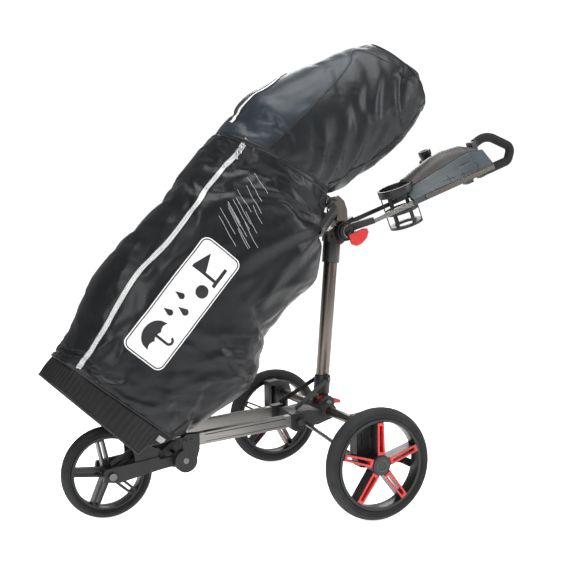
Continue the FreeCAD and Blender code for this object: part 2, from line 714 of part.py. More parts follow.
def umbrella_holder():
    u, y = UMBRELLA
    post = rod((u, 72, UMBRELLA_PIVOT_Z), (u, 74.5, UMBRELLA_PIVOT_Z), 12.0)
    wedge = plate([(u - 14, 12), (u - 14, 40), (u + 14, 40), (u + 14, 12)],
                  40, 72).cut(console_solid())
    save("umbrella_bracket", on_handle(join([post, wedge])))
    socket = pipe((u, y, 0), (u, y, 92), UMBRELLA_R, UMBRELLA_BORE)
    socket = socket.fuse(pipe((u, y, 84), (u, y, 100), 19.0, UMBRELLA_BORE))
    ear = disc(u, UMBRELLA_PIVOT_Z, 12.0, 74.8, 84)
    ear = ear.cut(rod((u, y, 0), (u, y, 92), UMBRELLA_BORE))
    knob = rod((u, y + UMBRELLA_R, 62), (u, y + 32, 62), 10.0)
    save("umbrella_socket", on_handle(join([socket, ear])), on_handle(knob))


def cam_lever():
    """Red quick-release lever on the left of the handle hinge."""
    cap = disc(0, 0, 21.0, -44, -36.3)
    cap = soften(cap, 2.0, lambda e: e.CenterOfMass.y < -43)
    lug = box(-6, 6, -55, -43.8, -8, -2)
    pin = rod((0, CAM_Y, -34), (0, CAM_Y, -8), CAM_PIN_R)
    save("cam_cap", on_handle(join([cap, lug, pin])))
    outline = [(-4, -9), (46, -9), (56, -13), (57, -24), (45, -38),
               (24, -47), (8, -47), (-4, -38)]
    paddle = plate(outline, CAM_Y - 5, CAM_Y + 5)
    paddle = soften(paddle, 2.0, lambda e: e.Length > 9.9)
    bore = rod((0, CAM_Y, -34.5), (0, CAM_Y, -6), CAM_PIN_R + RUN)
    save("cam_lever", on_handle(paddle.cut(bore)))


# ---- bag and clubs inside the cover -------------------------------------
BAG_R = 105.0
BAG_T = 25.0                  # bag axis behind the cover's reference axis
FOOT_INSET = 8.0              # bag's base is this far inside the cover
FOOT_SHARES = (0.08, 0.45)    # base, from the hem to the next station


def bag():
    top = FreeCAD.Vector(COS_B, 0, SIN_B)

    def tube(s0, s1, r_out, r_in):
        base = bag_vec(s0, 0, BAG_T)
        solid = Part.makeCylinder(r_out, s1 - s0, base, top)
        if r_in > 0:
            solid = solid.cut(Part.makeCylinder(r_in, s1 - s0, base, top))
        return solid

    foot = Part.makeLoft([cover_section(between(HEM, BODY_STATIONS[1], share),
                                        FOOT_INSET)
                          for share in FOOT_SHARES], True, True)
    save("bag_body", tube(92, 800, BAG_R, BAG_R - 5).fuse(foot))
    collar = tube(800, 826, BAG_R + 4, BAG_R - 8)
    bars = []
    for offset in (-40, 40):
        wall = Part.makeBox(22, 200, 6, vec(0, -100, -3))
        wall.rotate(vec(0, 0, 0), Y_AXIS, -BAG_ANGLE)
        wall.translate(bag_vec(802, 0, BAG_T + offset))
        bars.append(wall.common(tube(800, 826, BAG_R - 8.2, 0)))
    save("bag_collar", collar, *bars)


CLUBS = ((-60, 2, 1130), (0, 0, 1175), (60, 2, 1120),
         (-50, 55, 1090), (0, 60, 1150), (50, 55, 1100))


def clubs():
    shafts, heads = [], []
    for y, t, length in CLUBS:
        foot = bag_vec(110, y * 0.6, t * 0.5 + 30)
        head = bag_vec(length, y * 0.9, t + 55)
        along = (head - foot).normalize()
        shafts.append(Part.makeCylinder(6.0, (head - foot).Length,
                                        foot, along))
        heads.append(Part.makeSphere(24.0, head + along * 24.2))
    save("clubs", *shafts, *heads)


# ---- cover: stations of front point, rear point and half width ----------
HEM = (bag_point(72, -191), bag_point(72, 189), 131)
BODY_STATIONS = (
    HEM,
    (bag_point(120, -192), bag_point(120, 216), 134),
    (bag_point(180, -198), bag_point(180, 240), 136),
    (bag_point(255, -214), bag_point(255, 274), 138),
    (bag_point(325, -224), bag_point(325, 286), 140),
    (bag_point(430, -214), bag_point(430, 250), 140),
    (bag_point(530, -200), bag_point(530, 252), 142),
    (bag_point(625, -194), bag_point(625, 268), 142),
    (bag_point(700, -188), bag_point(700, 242), 140),
    (bag_point(758, -184), bag_point(758, 199), 138),
)
HOOD_SEAM = ((-292.0, 990.0), (4.0, 832.0), 138)
SKIRT_STATIONS = (
    (bag_point(18, -191), bag_point(-16, 186), 127),
    HEM,
)
HOOD_STATIONS = (
    HOOD_SEAM,
    ((-244.0, 1040.0), (52.0, 852.0), 140),
    ((-206.0, 1088.0), (80.0, 872.0), 140),
    ((-87.0, 1148.0), (143.0, 905.0), 132),
    ((18.0, 1192.0), (226.0, 962.0), 122),
    ((100.0, 1226.0), (298.0, 1024.0), 112),
    ((158.0, 1238.0), (325.0, 1060.0), 104),
    ((188.0, 1233.0), (332.0, 1086.0), 96),
)
ROUNDNESS = 2.3               # 2 is an ellipse, more is squarer
SECTION_POINTS = 24
ZIP_ANGLE = 223.7             # where the zip runs, round the section
SLIDER_SHARES = (0.15, 0.60)  # of the way from the last station to the seam
SLIDER_Z, PULL_Z = 1.2, 6.2   # heights of slider and pull off the cloth
PULL_POST_R, PULL_LENGTH = 2.0, 24.0
END_SHARE = 0.1               # closed hood end, as a share of its last bay
HEM_REAR_Z = 204.0            # height of the hem behind the front wheel


def cloth_point(station, angle, inset=0.0):
    """Point of one cover section and the outward normal there."""
    (fx, fz), (rx, rz), half = station
    across = vec(rx - fx, 0, rz - fz)
    reach = across.Length / 2 - inset
    across.normalize()
    middle = vec((fx + rx) / 2, 0, (fz + rz) / 2)
    c, s = math.cos(angle), math.sin(angle)
    along = math.copysign(abs(c) ** (2 / ROUNDNESS), c)
    side = math.copysign(abs(s) ** (2 / ROUNDNESS), s)
    spot = middle + across * (along * reach) + Y_AXIS * (side * (half - inset))
    slope = ROUNDNESS - 1
    normal = across * (math.copysign(abs(along) ** slope, c) / reach)
    normal += Y_AXIS * (math.copysign(abs(side) ** slope, s) / half)
    return spot, normal.normalize()


def cover_section(station, inset):
    """Closed smooth loop across the cover at one station."""
    turn = 2 * math.pi / SECTION_POINTS
    points = [cloth_point(station, turn * k, inset)[0]
              for k in range(SECTION_POINTS)]
    curve = Part.BSplineCurve()
    curve.interpolate(points, PeriodicFlag=True)
    return Part.Wire(curve.toShape())


def between(a, b, share):
    """Station part of the way from station a to station b."""
    mix = lambda p, q: (p[0] + (q[0] - p[0]) * share, p[1] + (q[1] - p[1]) * share)
    return mix(a[0], b[0]), mix(a[1], b[1]), a[2] + (b[2] - a[2]) * share


def cover_shell(stations, closed_end=False):
    """Cloth wall between an outer and an inner loft."""
    outer = Part.makeLoft([cover_section(s, 0) for s in stations], True)
    lined = list(stations)
    if closed_end:
        lined[-1] = between(stations[-2], stations[-1], 1 - END_SHARE)
    inner = Part.makeLoft([cover_section(s, CLOTH) for s in lined], True)
    return outer.cut(inner)


def on_cloth(shape, share, downward):
    """Lay a piece made in its own frame (X down, Z outward) on the zip."""
    station = between(BODY_STATIONS[-1], HOOD_SEAM, share)
    spot, normal = cloth_point(station, math.radians(ZIP_ANGLE))
    down = downward - normal * downward.dot(normal)
    turn = FreeCAD.Rotation(down, normal.cross(down), normal, "ZXY")
    placed = shape.copy()
    placed.Placement = FreeCAD.Placement(spot, turn).multiply(placed.Placement)
    return placed


def zip_sliders():
    """Two sliders near the top of the zip, each with a swinging pull."""
    zip_down = vec(-COS_B, 0, -SIN_B)
    straight_down = vec(0, 0, -1)
    slider = box(-7, 7, -5, 5, SLIDER_Z, SLIDER_Z + 3)
    post = rod((0, 0, SLIDER_Z + 3), (0, 0, PULL_Z + 2), PULL_POST_R)
    head = rod((0, 0, PULL_Z + 1.8), (0, 0, PULL_Z + 3), 3.2)
    slider = join([slider, post, head])
    eye = rod((0, 0, PULL_Z - 1.2), (0, 0, PULL_Z + 1.2), 4.0)
    pull = join([eye, rod((2, 0, PULL_Z), (PULL_LENGTH, 0, PULL_Z), 1.8)])
    pull = pull.cut(rod((0, 0, PULL_Z - 3), (0, 0, PULL_Z + 3), PULL_POST_R + RUN))
    sliders = [on_cloth(slider, share, zip_down) for share in SLIDER_SHARES]
    save("zip_sliders", *sliders)
    for name, share in zip(("lower_zip_pull", "upper_zip_pull"), SLIDER_SHARES):
        save(name, on_cloth(pull, share, straight_down))


def cover():
    save("cover_body", cover_shell(BODY_STATIONS + (HOOD_SEAM,)))
    save("cover_hood", cover_shell(HOOD_STATIONS, closed_end=True))
    skirt = cover_shell(SKIRT_STATIONS)
    save("cover_skirt", skirt.cut(box(-565, -380, -140, 140, 60, HEM_REAR_Z)))


# ---- build --------------------------------------------------------------
os.makedirs("parts", exist_ok=True)
for side_name, side_sign in SIDES:
    rear_wheel(side_name, side_sign)
rear_axles()
front_wheel()
front_fork()
front_hinge()
bag_cradle()
rails()
rail_bolt = rail_ends()
rear_housing()
rear_legs()
brake()
fold_bolt = upright()
brace_screws = braces()
save("frame_bolts", rail_bolt, fold_bolt, *brace_screws)
fold_release()
elbow()
bag_bracket()
handle_yoke()
handle_arms()
console()
console_lid()
cup_holder()
grip()
umbrella_holder()
cam_lever()
bag()
clubs()
cover()
zip_sliders()
print("pieces written:", len(os.listdir("parts")))
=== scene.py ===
import json
import math
import random

import bpy
import numpy as np
from mathutils import Matrix, Vector, noise
from mathutils.bvhtree import BVHTree


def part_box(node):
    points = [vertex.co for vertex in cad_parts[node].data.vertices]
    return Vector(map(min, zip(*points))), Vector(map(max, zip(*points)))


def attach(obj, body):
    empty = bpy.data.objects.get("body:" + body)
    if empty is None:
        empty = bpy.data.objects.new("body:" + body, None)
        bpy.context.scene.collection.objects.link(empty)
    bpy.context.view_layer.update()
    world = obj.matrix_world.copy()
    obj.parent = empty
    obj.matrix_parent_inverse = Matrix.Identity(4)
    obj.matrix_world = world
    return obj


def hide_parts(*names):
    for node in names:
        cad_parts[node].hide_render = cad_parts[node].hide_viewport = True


# Looks of the golf bag on its push cart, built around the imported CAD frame.
# Metres, +Z up, front wheel towards -X, handle towards +X, left side -Y.
# The layout plane of the part (X = 0 on the rear axle) is SHIFT_X away from
# the row frame, and its values are kept here in millimetres.

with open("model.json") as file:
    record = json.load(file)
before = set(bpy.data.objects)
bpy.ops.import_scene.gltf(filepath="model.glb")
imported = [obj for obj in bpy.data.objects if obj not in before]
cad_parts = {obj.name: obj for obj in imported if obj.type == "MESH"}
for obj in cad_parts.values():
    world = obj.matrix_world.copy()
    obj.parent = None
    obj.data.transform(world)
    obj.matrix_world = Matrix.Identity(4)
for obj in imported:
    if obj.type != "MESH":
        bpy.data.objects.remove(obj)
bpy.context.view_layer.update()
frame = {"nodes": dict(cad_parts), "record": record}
noise.seed_set(7)   # unset, noise_vector would follow the clock

MM = 0.001
SHIFT_X = 59.25
BAG_ANGLE = math.radians(52.0)
COS_B, SIN_B = math.cos(BAG_ANGLE), math.sin(BAG_ANGLE)
BAG_FOOT = (-640.0, 255.0)
HANDLE_PIVOT = (68.0, 727.0)
HANDLE_ANGLE = math.radians(20.5)
COS_H, SIN_H = math.cos(HANDLE_ANGLE), math.sin(HANDLE_ANGLE)
REAR_R, FRONT_R = 145.0, 120.0
WHEEL_Y = 329.0
WHEELBASE = 617.0
ACROSS = Vector((0, 1, 0))
MATERIALS = {}


# ---- small geometry helpers ----------------------------------------------
def at(x, y, z):
    """Row-frame point in metres from layout millimetres."""
    return Vector(((x + SHIFT_X) * MM, y * MM, z * MM))


def on_handle(u, y, v):
    """Row-frame point from the handle's own frame."""
    return at(HANDLE_PIVOT[0] + u * COS_H - v * SIN_H, y,
              HANDLE_PIVOT[1] + u * SIN_H + v * COS_H)


def bag_xz(s, t):
    """Layout X, Z at s along the bag axis and t behind it."""
    return (BAG_FOOT[0] + s * COS_B + t * SIN_B,
            BAG_FOOT[1] + s * SIN_B - t * COS_B)


def bag_st(point):
    """Bag frame s, t in millimetres of a row-frame point in metres."""
    x = point[0] / MM - SHIFT_X - BAG_FOOT[0]
    z = point[2] / MM - BAG_FOOT[1]
    return x * COS_B + z * SIN_B, x * SIN_B - z * COS_B


def mesh_object(name, shape, look, body="cart", smooth=True):
    """New mesh piece of (points, faces) that rides on a CAD body."""
    points, faces = shape
    data = bpy.data.meshes.new(name)
    data.from_pydata([tuple(p) for p in points], [], faces)
    data.validate()
    obj = bpy.data.objects.new(name, data)
    bpy.context.scene.collection.objects.link(obj)
    if smooth:
        data.polygons.foreach_set("use_smooth", [True] * len(data.polygons))
    data.materials.append(MATERIALS[look])
    if body:
        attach(obj, body)
    return obj


def grid_faces(rows, columns, closed=False):
    """Quads of a grid of points stored row by row."""
    faces = []
    for i in range(rows - 1):
        for j in range(columns if closed else columns - 1):
            k = (j + 1) % columns
            faces.append((i * columns + j, i * columns + k,
                          (i + 1) * columns + k, (i + 1) * columns + j))
    return faces


def end_caps(rows, columns):
    """Faces over the first and the last ring of a grid."""
    start = (rows - 1) * columns
    return [tuple(reversed(range(columns))), tuple(range(start, start + columns))]


def tangents_of(points, closed=False):
    """Tangent at each point of a polyline."""
    first, last = (points[-1:], points[:1]) if closed else (points[:1], points[-1:])
    return [(b - a).normalized() for a, b in
            zip(first + points[:-1], points[1:] + last)]


def tube_data(points, radius, sides=10, closed=False):
    """Points and faces of a round tube along a polyline."""
    tangents = tangents_of(points, closed)
    normal = tangents[0].orthogonal().normalized()
    verts = []
    for p, t in zip(points, tangents):
        normal = (normal - t * normal.dot(t)).normalized()
        side = t.cross(normal)
        for k in range(sides):
            a = 2 * math.pi * k / sides
            verts.append(p + normal * (math.cos(a) * radius)
                         + side * (math.sin(a) * radius))
    faces = [tuple(i % len(verts) for i in face)
             for face in grid_faces(len(points) + closed, sides, True)]
    return verts, faces if closed else faces + end_caps(len(points), sides)


def piping(name, points, radius, closed=False):
    """Round black piping on the cover."""
    mesh_object(name, tube_data(points, radius, 10, closed), "black_piping")


def merged(parts):
    """One point and face list from several."""
    verts, faces = [], []
    for v, f in parts:
        base = len(verts)
        verts += v
        faces += [tuple(i + base for i in face) for face in f]
    return verts, faces


def lathe_data(origin, axis, profile, sides=32):
    """Surface of revolution: profile is (distance along axis, radius)."""
    axis = axis.normalized()
    a = axis.orthogonal().normalized()
    b = axis.cross(a)
    verts = []
    for h, r in profile:
        for k in range(sides):
            w = 2 * math.pi * k / sides
            verts.append(origin + axis * h + a * (math.cos(w) * r)
                         + b * (math.sin(w) * r))
    caps = zip(end_caps(len(profile), sides), (profile[0], profile[-1]))
    return verts, grid_faces(len(profile), sides, True) + [
        cap for cap, (_, r) in caps if r > 0]


def block_data(centre, axes, half, chamfer):
    """Box with chamfered edges, axes being three unit vectors."""
    hx, hy, hz = half
    c = min(chamfer, hx * 0.9, hy * 0.9, hz * 0.9)
    verts = []
    for z, cut in ((-hz, c), (-hz + c, 0), (hz - c, 0), (hz, c)):
        x, y, d = hx - cut, hy - cut, c - cut
        for px, py in ((x - d, -y), (x, d - y), (x, y - d), (x - d, y),
                       (d - x, y), (-x, y - d), (-x, d - y), (d - x, -y)):
            verts.append(centre + axes[0] * px + axes[1] * py + axes[2] * z)
    return verts, grid_faces(4, 8, True) + end_caps(4, 8)


def curve(points, i, f):
    """Smooth curve through points, f of the way from point i to the next."""
    pts = [np.array(p, float) for p in points]
    pts = [2 * pts[0] - pts[1]] + pts + [2 * pts[-1] - pts[-2]]
    p0, p1, p2, p3 = pts[i:i + 4]
    return 0.5 * (2 * p1 + (p2 - p0) * f + (2 * p0 - 5 * p1 + 4 * p2 - p3) * f ** 2
                  + (3 * p1 - p0 - 3 * p2 + p3) * f ** 3)


def smooth_line(points, per_leg=8):
    """Points along the smooth curve through a few 2-D points."""
    return [curve(points, i, k / per_leg) for i in range(len(points) - 1)
            for k in range(per_leg)] + [np.array(points[-1], float)]


# ---- materials -----------------------------------------------------------
def put(tree, node, **values):
    """Link or set a node's inputs by name, with _ for a space."""
    for key, value in values.items():
        socket = node.inputs[key.replace("_", " ")]
        if isinstance(value, bpy.types.NodeSocket):
            tree.links.new(value, socket)
        else:
            socket.default_value = value
    return node


def new_node(tree, kind, **values):
    """New shader node with its inputs linked or set."""
    return put(tree, tree.nodes.new("ShaderNode" + kind), **values)


class Look:
    """Material made of nodes, kept in MATERIALS under its name."""

    def __init__(self, name, rough, metallic=0.0, specular=0.5):
        material = MATERIALS[name] = bpy.data.materials.new(name)
        material.use_nodes = True
        self.tree = material.node_tree
        self.shader = self.tree.nodes["Principled BSDF"]
        self.relief = None
        self.shade(Roughness=rough, Metallic=metallic, Specular_IOR_Level=specular)

    def shade(self, **values):
        """Link or set the shader's inputs."""
        put(self.tree, self.shader, **values)

    def node(self, kind, output, **values):
        """Output of a new node."""
        return new_node(self.tree, kind, **values).outputs[output]

    def place(self, stretch=(1, 1, 1)):
        """Object coordinates, which are the row frame, with a stretch."""
        source = self.node("TexCoord", "Object")
        return self.node("Mapping", "Vector", Vector=source, Scale=stretch)

    def noise(self, scale, detail, rough=0.5, stretch=(1, 1, 1)):
        """Cloudy pattern."""
        return self.node("TexNoise", "Fac", Vector=self.place(stretch), Scale=scale,
                         Detail=detail, Roughness=rough)

    def tint(self, factor, low, high, start=0.35, end=0.65):
        """Base colour that runs from low to high with a pattern."""
        ramp = new_node(self.tree, "ValToRGB", Fac=factor)
        for i, (place, colour) in enumerate(((start, low), (end, high))):
            ramp.color_ramp.elements[i].position = place
            ramp.color_ramp.elements[i].color = (*colour, 1)
        self.shade(Base_Color=ramp.outputs["Color"])

    def gloss(self, factor, low, high):
        """Roughness that runs from low to high with a pattern."""
        self.shade(Roughness=self.node("MapRange", "Result", Value=factor, To_Min=low,
                                       To_Max=high))

    def bump(self, height, strength, distance):
        """Relief, added to the relief so far."""
        node = new_node(self.tree, "Bump", Height=height, Strength=strength,
                        Distance=distance)
        if self.relief:
            put(self.tree, node, Normal=self.relief)
        self.relief = node.outputs["Normal"]
        self.shade(Normal=self.relief)

    def beyond(self, split, normal, blur):
        """0 before the plane through split and 1 past it."""
        dot = new_node(self.tree, "VectorMath")
        dot.operation = "DOT_PRODUCT"
        self.tree.links.new(self.place(), dot.inputs[0])
        dot.inputs[1].default_value = normal
        level = split.dot(Vector(normal))
        return self.node("MapRange", "Result", Value=dot.outputs["Value"],
                         From_Min=level - blur, From_Max=level + blur)


def shade(colour, factor):
    """Colour made darker or lighter."""
    return tuple(c * factor for c in colour)


def moulded(name, colour, rough=0.5, specular=0.4, grain=900, depth=0.00012):
    """Moulded plastic: faint mottling and a fine spark-eroded grain."""
    look = Look(name, rough, 0.0, specular)
    look.tint(look.noise(14.0, 5.0), shade(colour, 0.8), shade(colour, 1.25))
    look.bump(look.noise(grain, 2.0), 0.35, depth)
    look.gloss(look.noise(40.0, 6.0), rough - 0.08, rough + 0.1)


def brushed(name, colour, stretch, rough):
    """Brushed metal: hair lines stretched along one axis."""
    look = Look(name, rough, 1.0)
    lines = look.noise(1.0, 6.0, 0.65, stretch)
    look.tint(lines, shade(colour, 0.78), shade(colour, 1.2), 0.3, 0.7)
    look.gloss(lines, rough - 0.07, rough + 0.1)
    look.bump(lines, 0.15, 0.00008)


def nylon(name, low, high, rough=0.42, specular=0.3):
    """Coated nylon: small creases, a ripstop weave and a soft sheen."""
    look = Look(name, rough, 0.0, specular)
    look.shade(Sheen_Weight=0.01, Sheen_Roughness=0.35)
    look.tint(look.noise(9.0, 6.0, 0.6), low, high, 0.3, 0.75)
    look.bump(look.noise(16.0, 4.0, 0.5, (1.0, 1.4, 0.8)), 0.3, 0.006)
    crinkle = new_node(look.tree, "TexVoronoi", Vector=look.place(), Scale=26.0)
    crinkle.feature = "DISTANCE_TO_EDGE"
    look.bump(crinkle.outputs["Distance"], 0.12, 0.003)
    look.bump(look.noise(2200.0, 1.0), 0.25, 0.00012)
    return look


def rubber(name, colour):
    """Tyre rubber with dust on it."""
    look = Look(name, 0.75, 0.0, 0.3)
    look.tint(look.noise(24.0, 7.0, 0.65), shade(colour, 0.75), shade(colour, 1.5),
              0.35, 0.8)
    look.bump(look.noise(700.0, 3.0), 0.5, 0.0003)


def foam_rubber(name, colour):
    """Foam with small cells."""
    look = Look(name, 0.85, 0.0, 0.25)
    cells = look.node("TexVoronoi", "Distance", Vector=look.place(), Scale=620.0)
    look.tint(cells, shade(colour, 1.6), shade(colour, 0.6), 0.1, 0.8)
    look.bump(cells, 0.6, 0.0004)


def printed(name, colour, rough=0.45):
    """Printed or reflective film, with the weave showing faintly."""
    look = Look(name, rough, 0.0, 0.4)
    look.tint(look.noise(30.0, 6.0), shade(colour, 0.86), shade(colour, 1.04), 0.3, 0.7)
    look.bump(look.noise(1600.0, 1.0), 0.3, 0.0001)
    look.bump(look.noise(60.0, 4.0), 0.3, 0.0012)


def webbing(name, colour):
    """Woven strap: ribs across it and a coarse thread."""
    look = Look(name, 0.7, 0.0, 0.3)
    ribs = look.node("TexWave", "Fac", Vector=look.place(), Scale=260.0, Distortion=1.5)
    look.tint(ribs, shade(colour, 0.7), shade(colour, 1.3), 0.2, 0.8)
    look.bump(ribs, 0.4, 0.0004)


def two_tone(name, front, rear, split, normal):
    """Paint that changes to bare metal at the plane through split."""
    look = Look(name, 0.4)
    past = look.beyond(split, normal, 0.0004)
    look.tint(past, front, rear, 0.45, 0.55)
    look.shade(Metallic=past)
    look.bump(look.noise(600.0, 3.0), 0.3, 0.00012)


BLACK = (0.0095, 0.0098, 0.0102)
BRONZE = (0.150, 0.131, 0.115)
SILVER = (0.235, 0.228, 0.218)
ALONG_RAIL = (6, 900, 900)
ALONG_Y = (900, 6, 900)
ALONG_TUBE = (900, 900, 8)

# Materials of the record's slots.
rubber("tyre", (0.021, 0.0215, 0.0225))
moulded("wheel_black", (0.010, 0.010, 0.0105), 0.36)
moulded("red_trim", (0.50, 0.020, 0.018), 0.34, 0.5, 600, 0.00008)
moulded("black_plastic", BLACK, 0.46)
moulded("dark_grey_plastic", (0.026, 0.026, 0.027), 0.5)
brushed("steel", (0.13, 0.13, 0.135), (300, 300, 300), 0.3)
brushed("gunmetal", BRONZE, ALONG_TUBE, 0.33)
brushed("silver", SILVER, ALONG_RAIL, 0.34)
moulded("black_metal", (0.012, 0.012, 0.0125), 0.33, 0.5)
moulded("console_grey", (0.027, 0.038, 0.043), 0.40)
moulded("lid_grey", (0.046, 0.044, 0.041), 0.46)
foam_rubber("foam", (0.013, 0.013, 0.014))
nylon("cover_cloth", (0.0050, 0.0054, 0.0064), (0.0085, 0.0094, 0.0118), 0.38, 0.27)
nylon("bag_cloth", (0.012, 0.012, 0.012), (0.02, 0.02, 0.02))
brushed("club_steel", (0.5, 0.5, 0.51), ALONG_TUBE, 0.25)
webbing("cord", (0.018, 0.018, 0.019))
brushed("zip_metal", (0.62, 0.62, 0.62), (400, 400, 400), 0.25)

# Materials of single pieces.
nylon("band_cloth", (0.008, 0.008, 0.009), (0.014, 0.014, 0.015), 0.6, 0.22)
printed("white_film", (0.80, 0.80, 0.79))
printed("zip_film", (0.56, 0.57, 0.57), 0.38)
printed("black_ink", (0.014, 0.014, 0.016), 0.5)
printed("streak_grey", (0.42, 0.42, 0.42))
printed("tab_grey", (0.33, 0.33, 0.34))
moulded("black_piping", (0.009, 0.009, 0.010), 0.5)
webbing("thread", (0.05, 0.052, 0.055))
two_tone("elbow_paint", BLACK, shade(BRONZE, 0.6), at(40, 0, 690), (0.98, 0.0, 0.2))
brushed("leg_bronze", BRONZE, ALONG_Y, 0.33)

SPECIAL = {"elbow": "elbow_paint", "leg_tubes": "leg_bronze",
           "left_brace": "black_metal", "right_brace": "black_metal"}
SOFT_EDGES = {"cam_lever": 0.0035, "console": 0.0014, "console_lid": 0.0014}
EDGE = 0.0007


def dress_cad_nodes():
    """Give every CAD node its slot's material and softened edges."""
    slots = {row["node"]: row["material_slot"]
             for row in frame["record"]["subparts"]}
    for name, obj in frame["nodes"].items():
        obj.data.materials.clear()
        obj.data.materials.append(MATERIALS[SPECIAL.get(name, slots[name])])
        weld = obj.modifiers.new("weld", "WELD")
        weld.merge_threshold = 0.00002
        bevel = obj.modifiers.new("edges", "BEVEL")
        soft = name in SOFT_EDGES
        bevel.width = SOFT_EDGES.get(name, EDGE)
        bevel.segments = 4 if soft else 2
        bevel.limit_method = "ANGLE"
        bevel.angle_limit = math.radians(18 if soft else 40)
        bevel.harden_normals = True


# ---- cover: the cloth's stations, as in the CAD part ----------------------
# A station is front X, Z, rear X, Z and half width of one section.
HEM = (*bag_xz(72, -191), *bag_xz(72, 189), 131.0)
HOOD_SEAM = (-292.0, 990.0, 4.0, 832.0, 138.0)
BODY_STATIONS = [HEM] + [
    (*bag_xz(s, front), *bag_xz(s, rear), half) for s, front, rear, half in (
        (120, -192, 216, 134.0), (180, -198, 240, 136.0),
        (255, -214, 274, 138.0), (325, -224, 286, 140.0),
        (430, -214, 250, 140.0), (530, -200, 252, 142.0),
        (625, -194, 268, 142.0), (700, -188, 242, 140.0),
        (758, -184, 199, 138.0))] + [HOOD_SEAM]
SKIRT_STATIONS = [HEM, (*bag_xz(18, -191), *bag_xz(-16, 186), 127.0)]
HOOD_STATIONS = [
    HOOD_SEAM,
    (-244.0, 1040.0, 52.0, 852.0, 140.0),
    (-206.0, 1088.0, 80.0, 872.0, 140.0),
    (-87.0, 1148.0, 143.0, 905.0, 132.0),
    (18.0, 1192.0, 226.0, 962.0, 122.0),
    (100.0, 1226.0, 298.0, 1024.0, 112.0),
    (158.0, 1238.0, 325.0, 1060.0, 104.0),
    (188.0, 1233.0, 332.0, 1086.0, 96.0),
]
ROUNDNESS, END_ROUNDNESS = 2.3, 1.3
PINCH_FROM, PINCH_OVER = 0.10, 0.16   # metres along X where the hood flattens


def station_at(stations, u):
    """Smoothly interpolated station at u = 0 ... len(stations) - 1."""
    i = min(int(u), len(stations) - 2)
    return curve(stations, i, u - i)


def cloth_point(station, angle, scale=1.0):
    """Point of one section (angle 0 is the rear, 270 degrees the left)."""
    fx, fz, rx, rz, half = station
    ax, az = (rx - fx) / 2, (rz - fz) / 2
    c, s = math.cos(angle), math.sin(angle)
    pinch = ((fx + rx) / 2 * MM - PINCH_FROM) / PINCH_OVER
    pinch = min(1.0, max(0.0, pinch))
    power = 2 / (ROUNDNESS + (END_ROUNDNESS - ROUNDNESS) * pinch)
    along = math.copysign(abs(c) ** power, c) * scale
    side = math.copysign(abs(s) ** power, s) * scale
    return at((fx + rx) / 2 + ax * along, half * side, (fz + rz) / 2 + az * along)


# Folds on the left side: start s, t and end s, t, width and height, in mm.
FOLDS = (
    (770, 150, 640, -60, 16, 6), (752, 165, 560, 40, 20, 7),
    (735, 175, 500, 130, 22, 8), (760, 120, 690, -70, 12, 5),
    (640, 250, 470, 120, 24, 9), (590, 255, 430, 180, 18, 6),
    (420, 245, 330, 60, 22, 8), (400, 250, 270, 90, 18, 7),
    (360, 275, 300, 110, 20, 7), (345, 60, 300, 240, 14, 5),
    (640, -180, 380, -150, 16, 5), (560, -190, 300, -185, 18, 7),
    (430, -205, 160, -165, 20, 6), (300, -110, 110, -60, 20, 6),
    (260, -130, 90, -120, 15, 5), (200, 40, 90, 130, 22, 8),
    (240, 120, 100, 190, 18, 7), (180, 150, 80, 20, 16, 5),
    (520, -80, 340, -125, 14, 4), (690, -60, 560, -130, 14, 4),
    (480, 60, 400, 230, 18, 6), (300, 200, 150, 60, 22, 7),
    (835, 150, 1130, 70, 18, 9), (835, 165, 1080, 160, 20, 9),
    (830, 110, 1050, 20, 18, 8), (840, 60, 960, -10, 16, 6),
    (1160, 10, 1040, 90, 14, 7), (1185, 60, 1060, 120, 13, 6),
    (1120, -60, 1010, 20, 14, 5), (850, 190, 1000, 210, 16, 7),
    (1190, 110, 1110, 190, 13, 6), (960, -120, 1090, -70, 14, 4),
)
FADE = 0.15            # share of its length a fold runs on past each end
FOLD_BEND = 14.0
RIGHT_SHIFT = 35.0     # the right side's folds start lower by this


def fold_shape(x):
    """Cross-section of a fold: a sharp ridge and the valley beside it."""
    return 1.25 * math.exp(-1.9 * abs(x)) - 0.7 * math.exp(-1.6 * abs(x - 1.5))


def fold_height(s, t, side):
    """Height of the named folds at a place on one side of the cover."""
    total = 0.0
    shift = 0.0 if side < 0 else RIGHT_SHIFT
    for s0, t0, s1, t1, width, height in FOLDS:
        s0, s1 = s0 - shift, s1 - shift * 0.4
        ds, dt = s1 - s0, t1 - t0
        length2 = ds * ds + dt * dt
        f = ((s - s0) * ds + (t - t0) * dt) / length2
        if f < -FADE or f > 1 + FADE:
            continue
        bend = FOLD_BEND * math.sin(math.pi * f)
        off = ((s - s0) * dt - (t - t0) * ds) / math.sqrt(length2) + bend
        taper = max(0.0, math.sin(math.pi * (f + FADE) / (1 + 2 * FADE))) ** 0.7
        total += height * taper * fold_shape(off / width)
    return total


SADDLE_ST = (815.0, 190.0)
SMALL_FOLDS = 190


def small_folds(seed):
    """Many short folds whose direction follows the pull in the cloth."""
    draw = random.Random(seed)
    folds = []
    for _ in range(SMALL_FOLDS):
        s, t = draw.uniform(60, 1190), draw.uniform(-215, 285)
        if s > 430 and t > -40:
            lean = math.atan2(SADDLE_ST[1] - t, SADDLE_ST[0] - s)
        elif t <= -40 and s > 120:
            lean = draw.choice((0.0, 0.25, -0.35))
        else:
            lean = math.atan2(SIN_B, COS_B)
        lean += draw.gauss(0, 0.22)
        length = draw.uniform(50, 170)
        c, d = math.cos(lean), math.sin(lean)
        folds.append((s - c * length / 2, t - d * length / 2, c, d, length,
                      draw.uniform(7, 13), draw.uniform(1.2, 3.4)))
    return folds


LEFT_FIELD, RIGHT_FIELD = small_folds(31), small_folds(47)


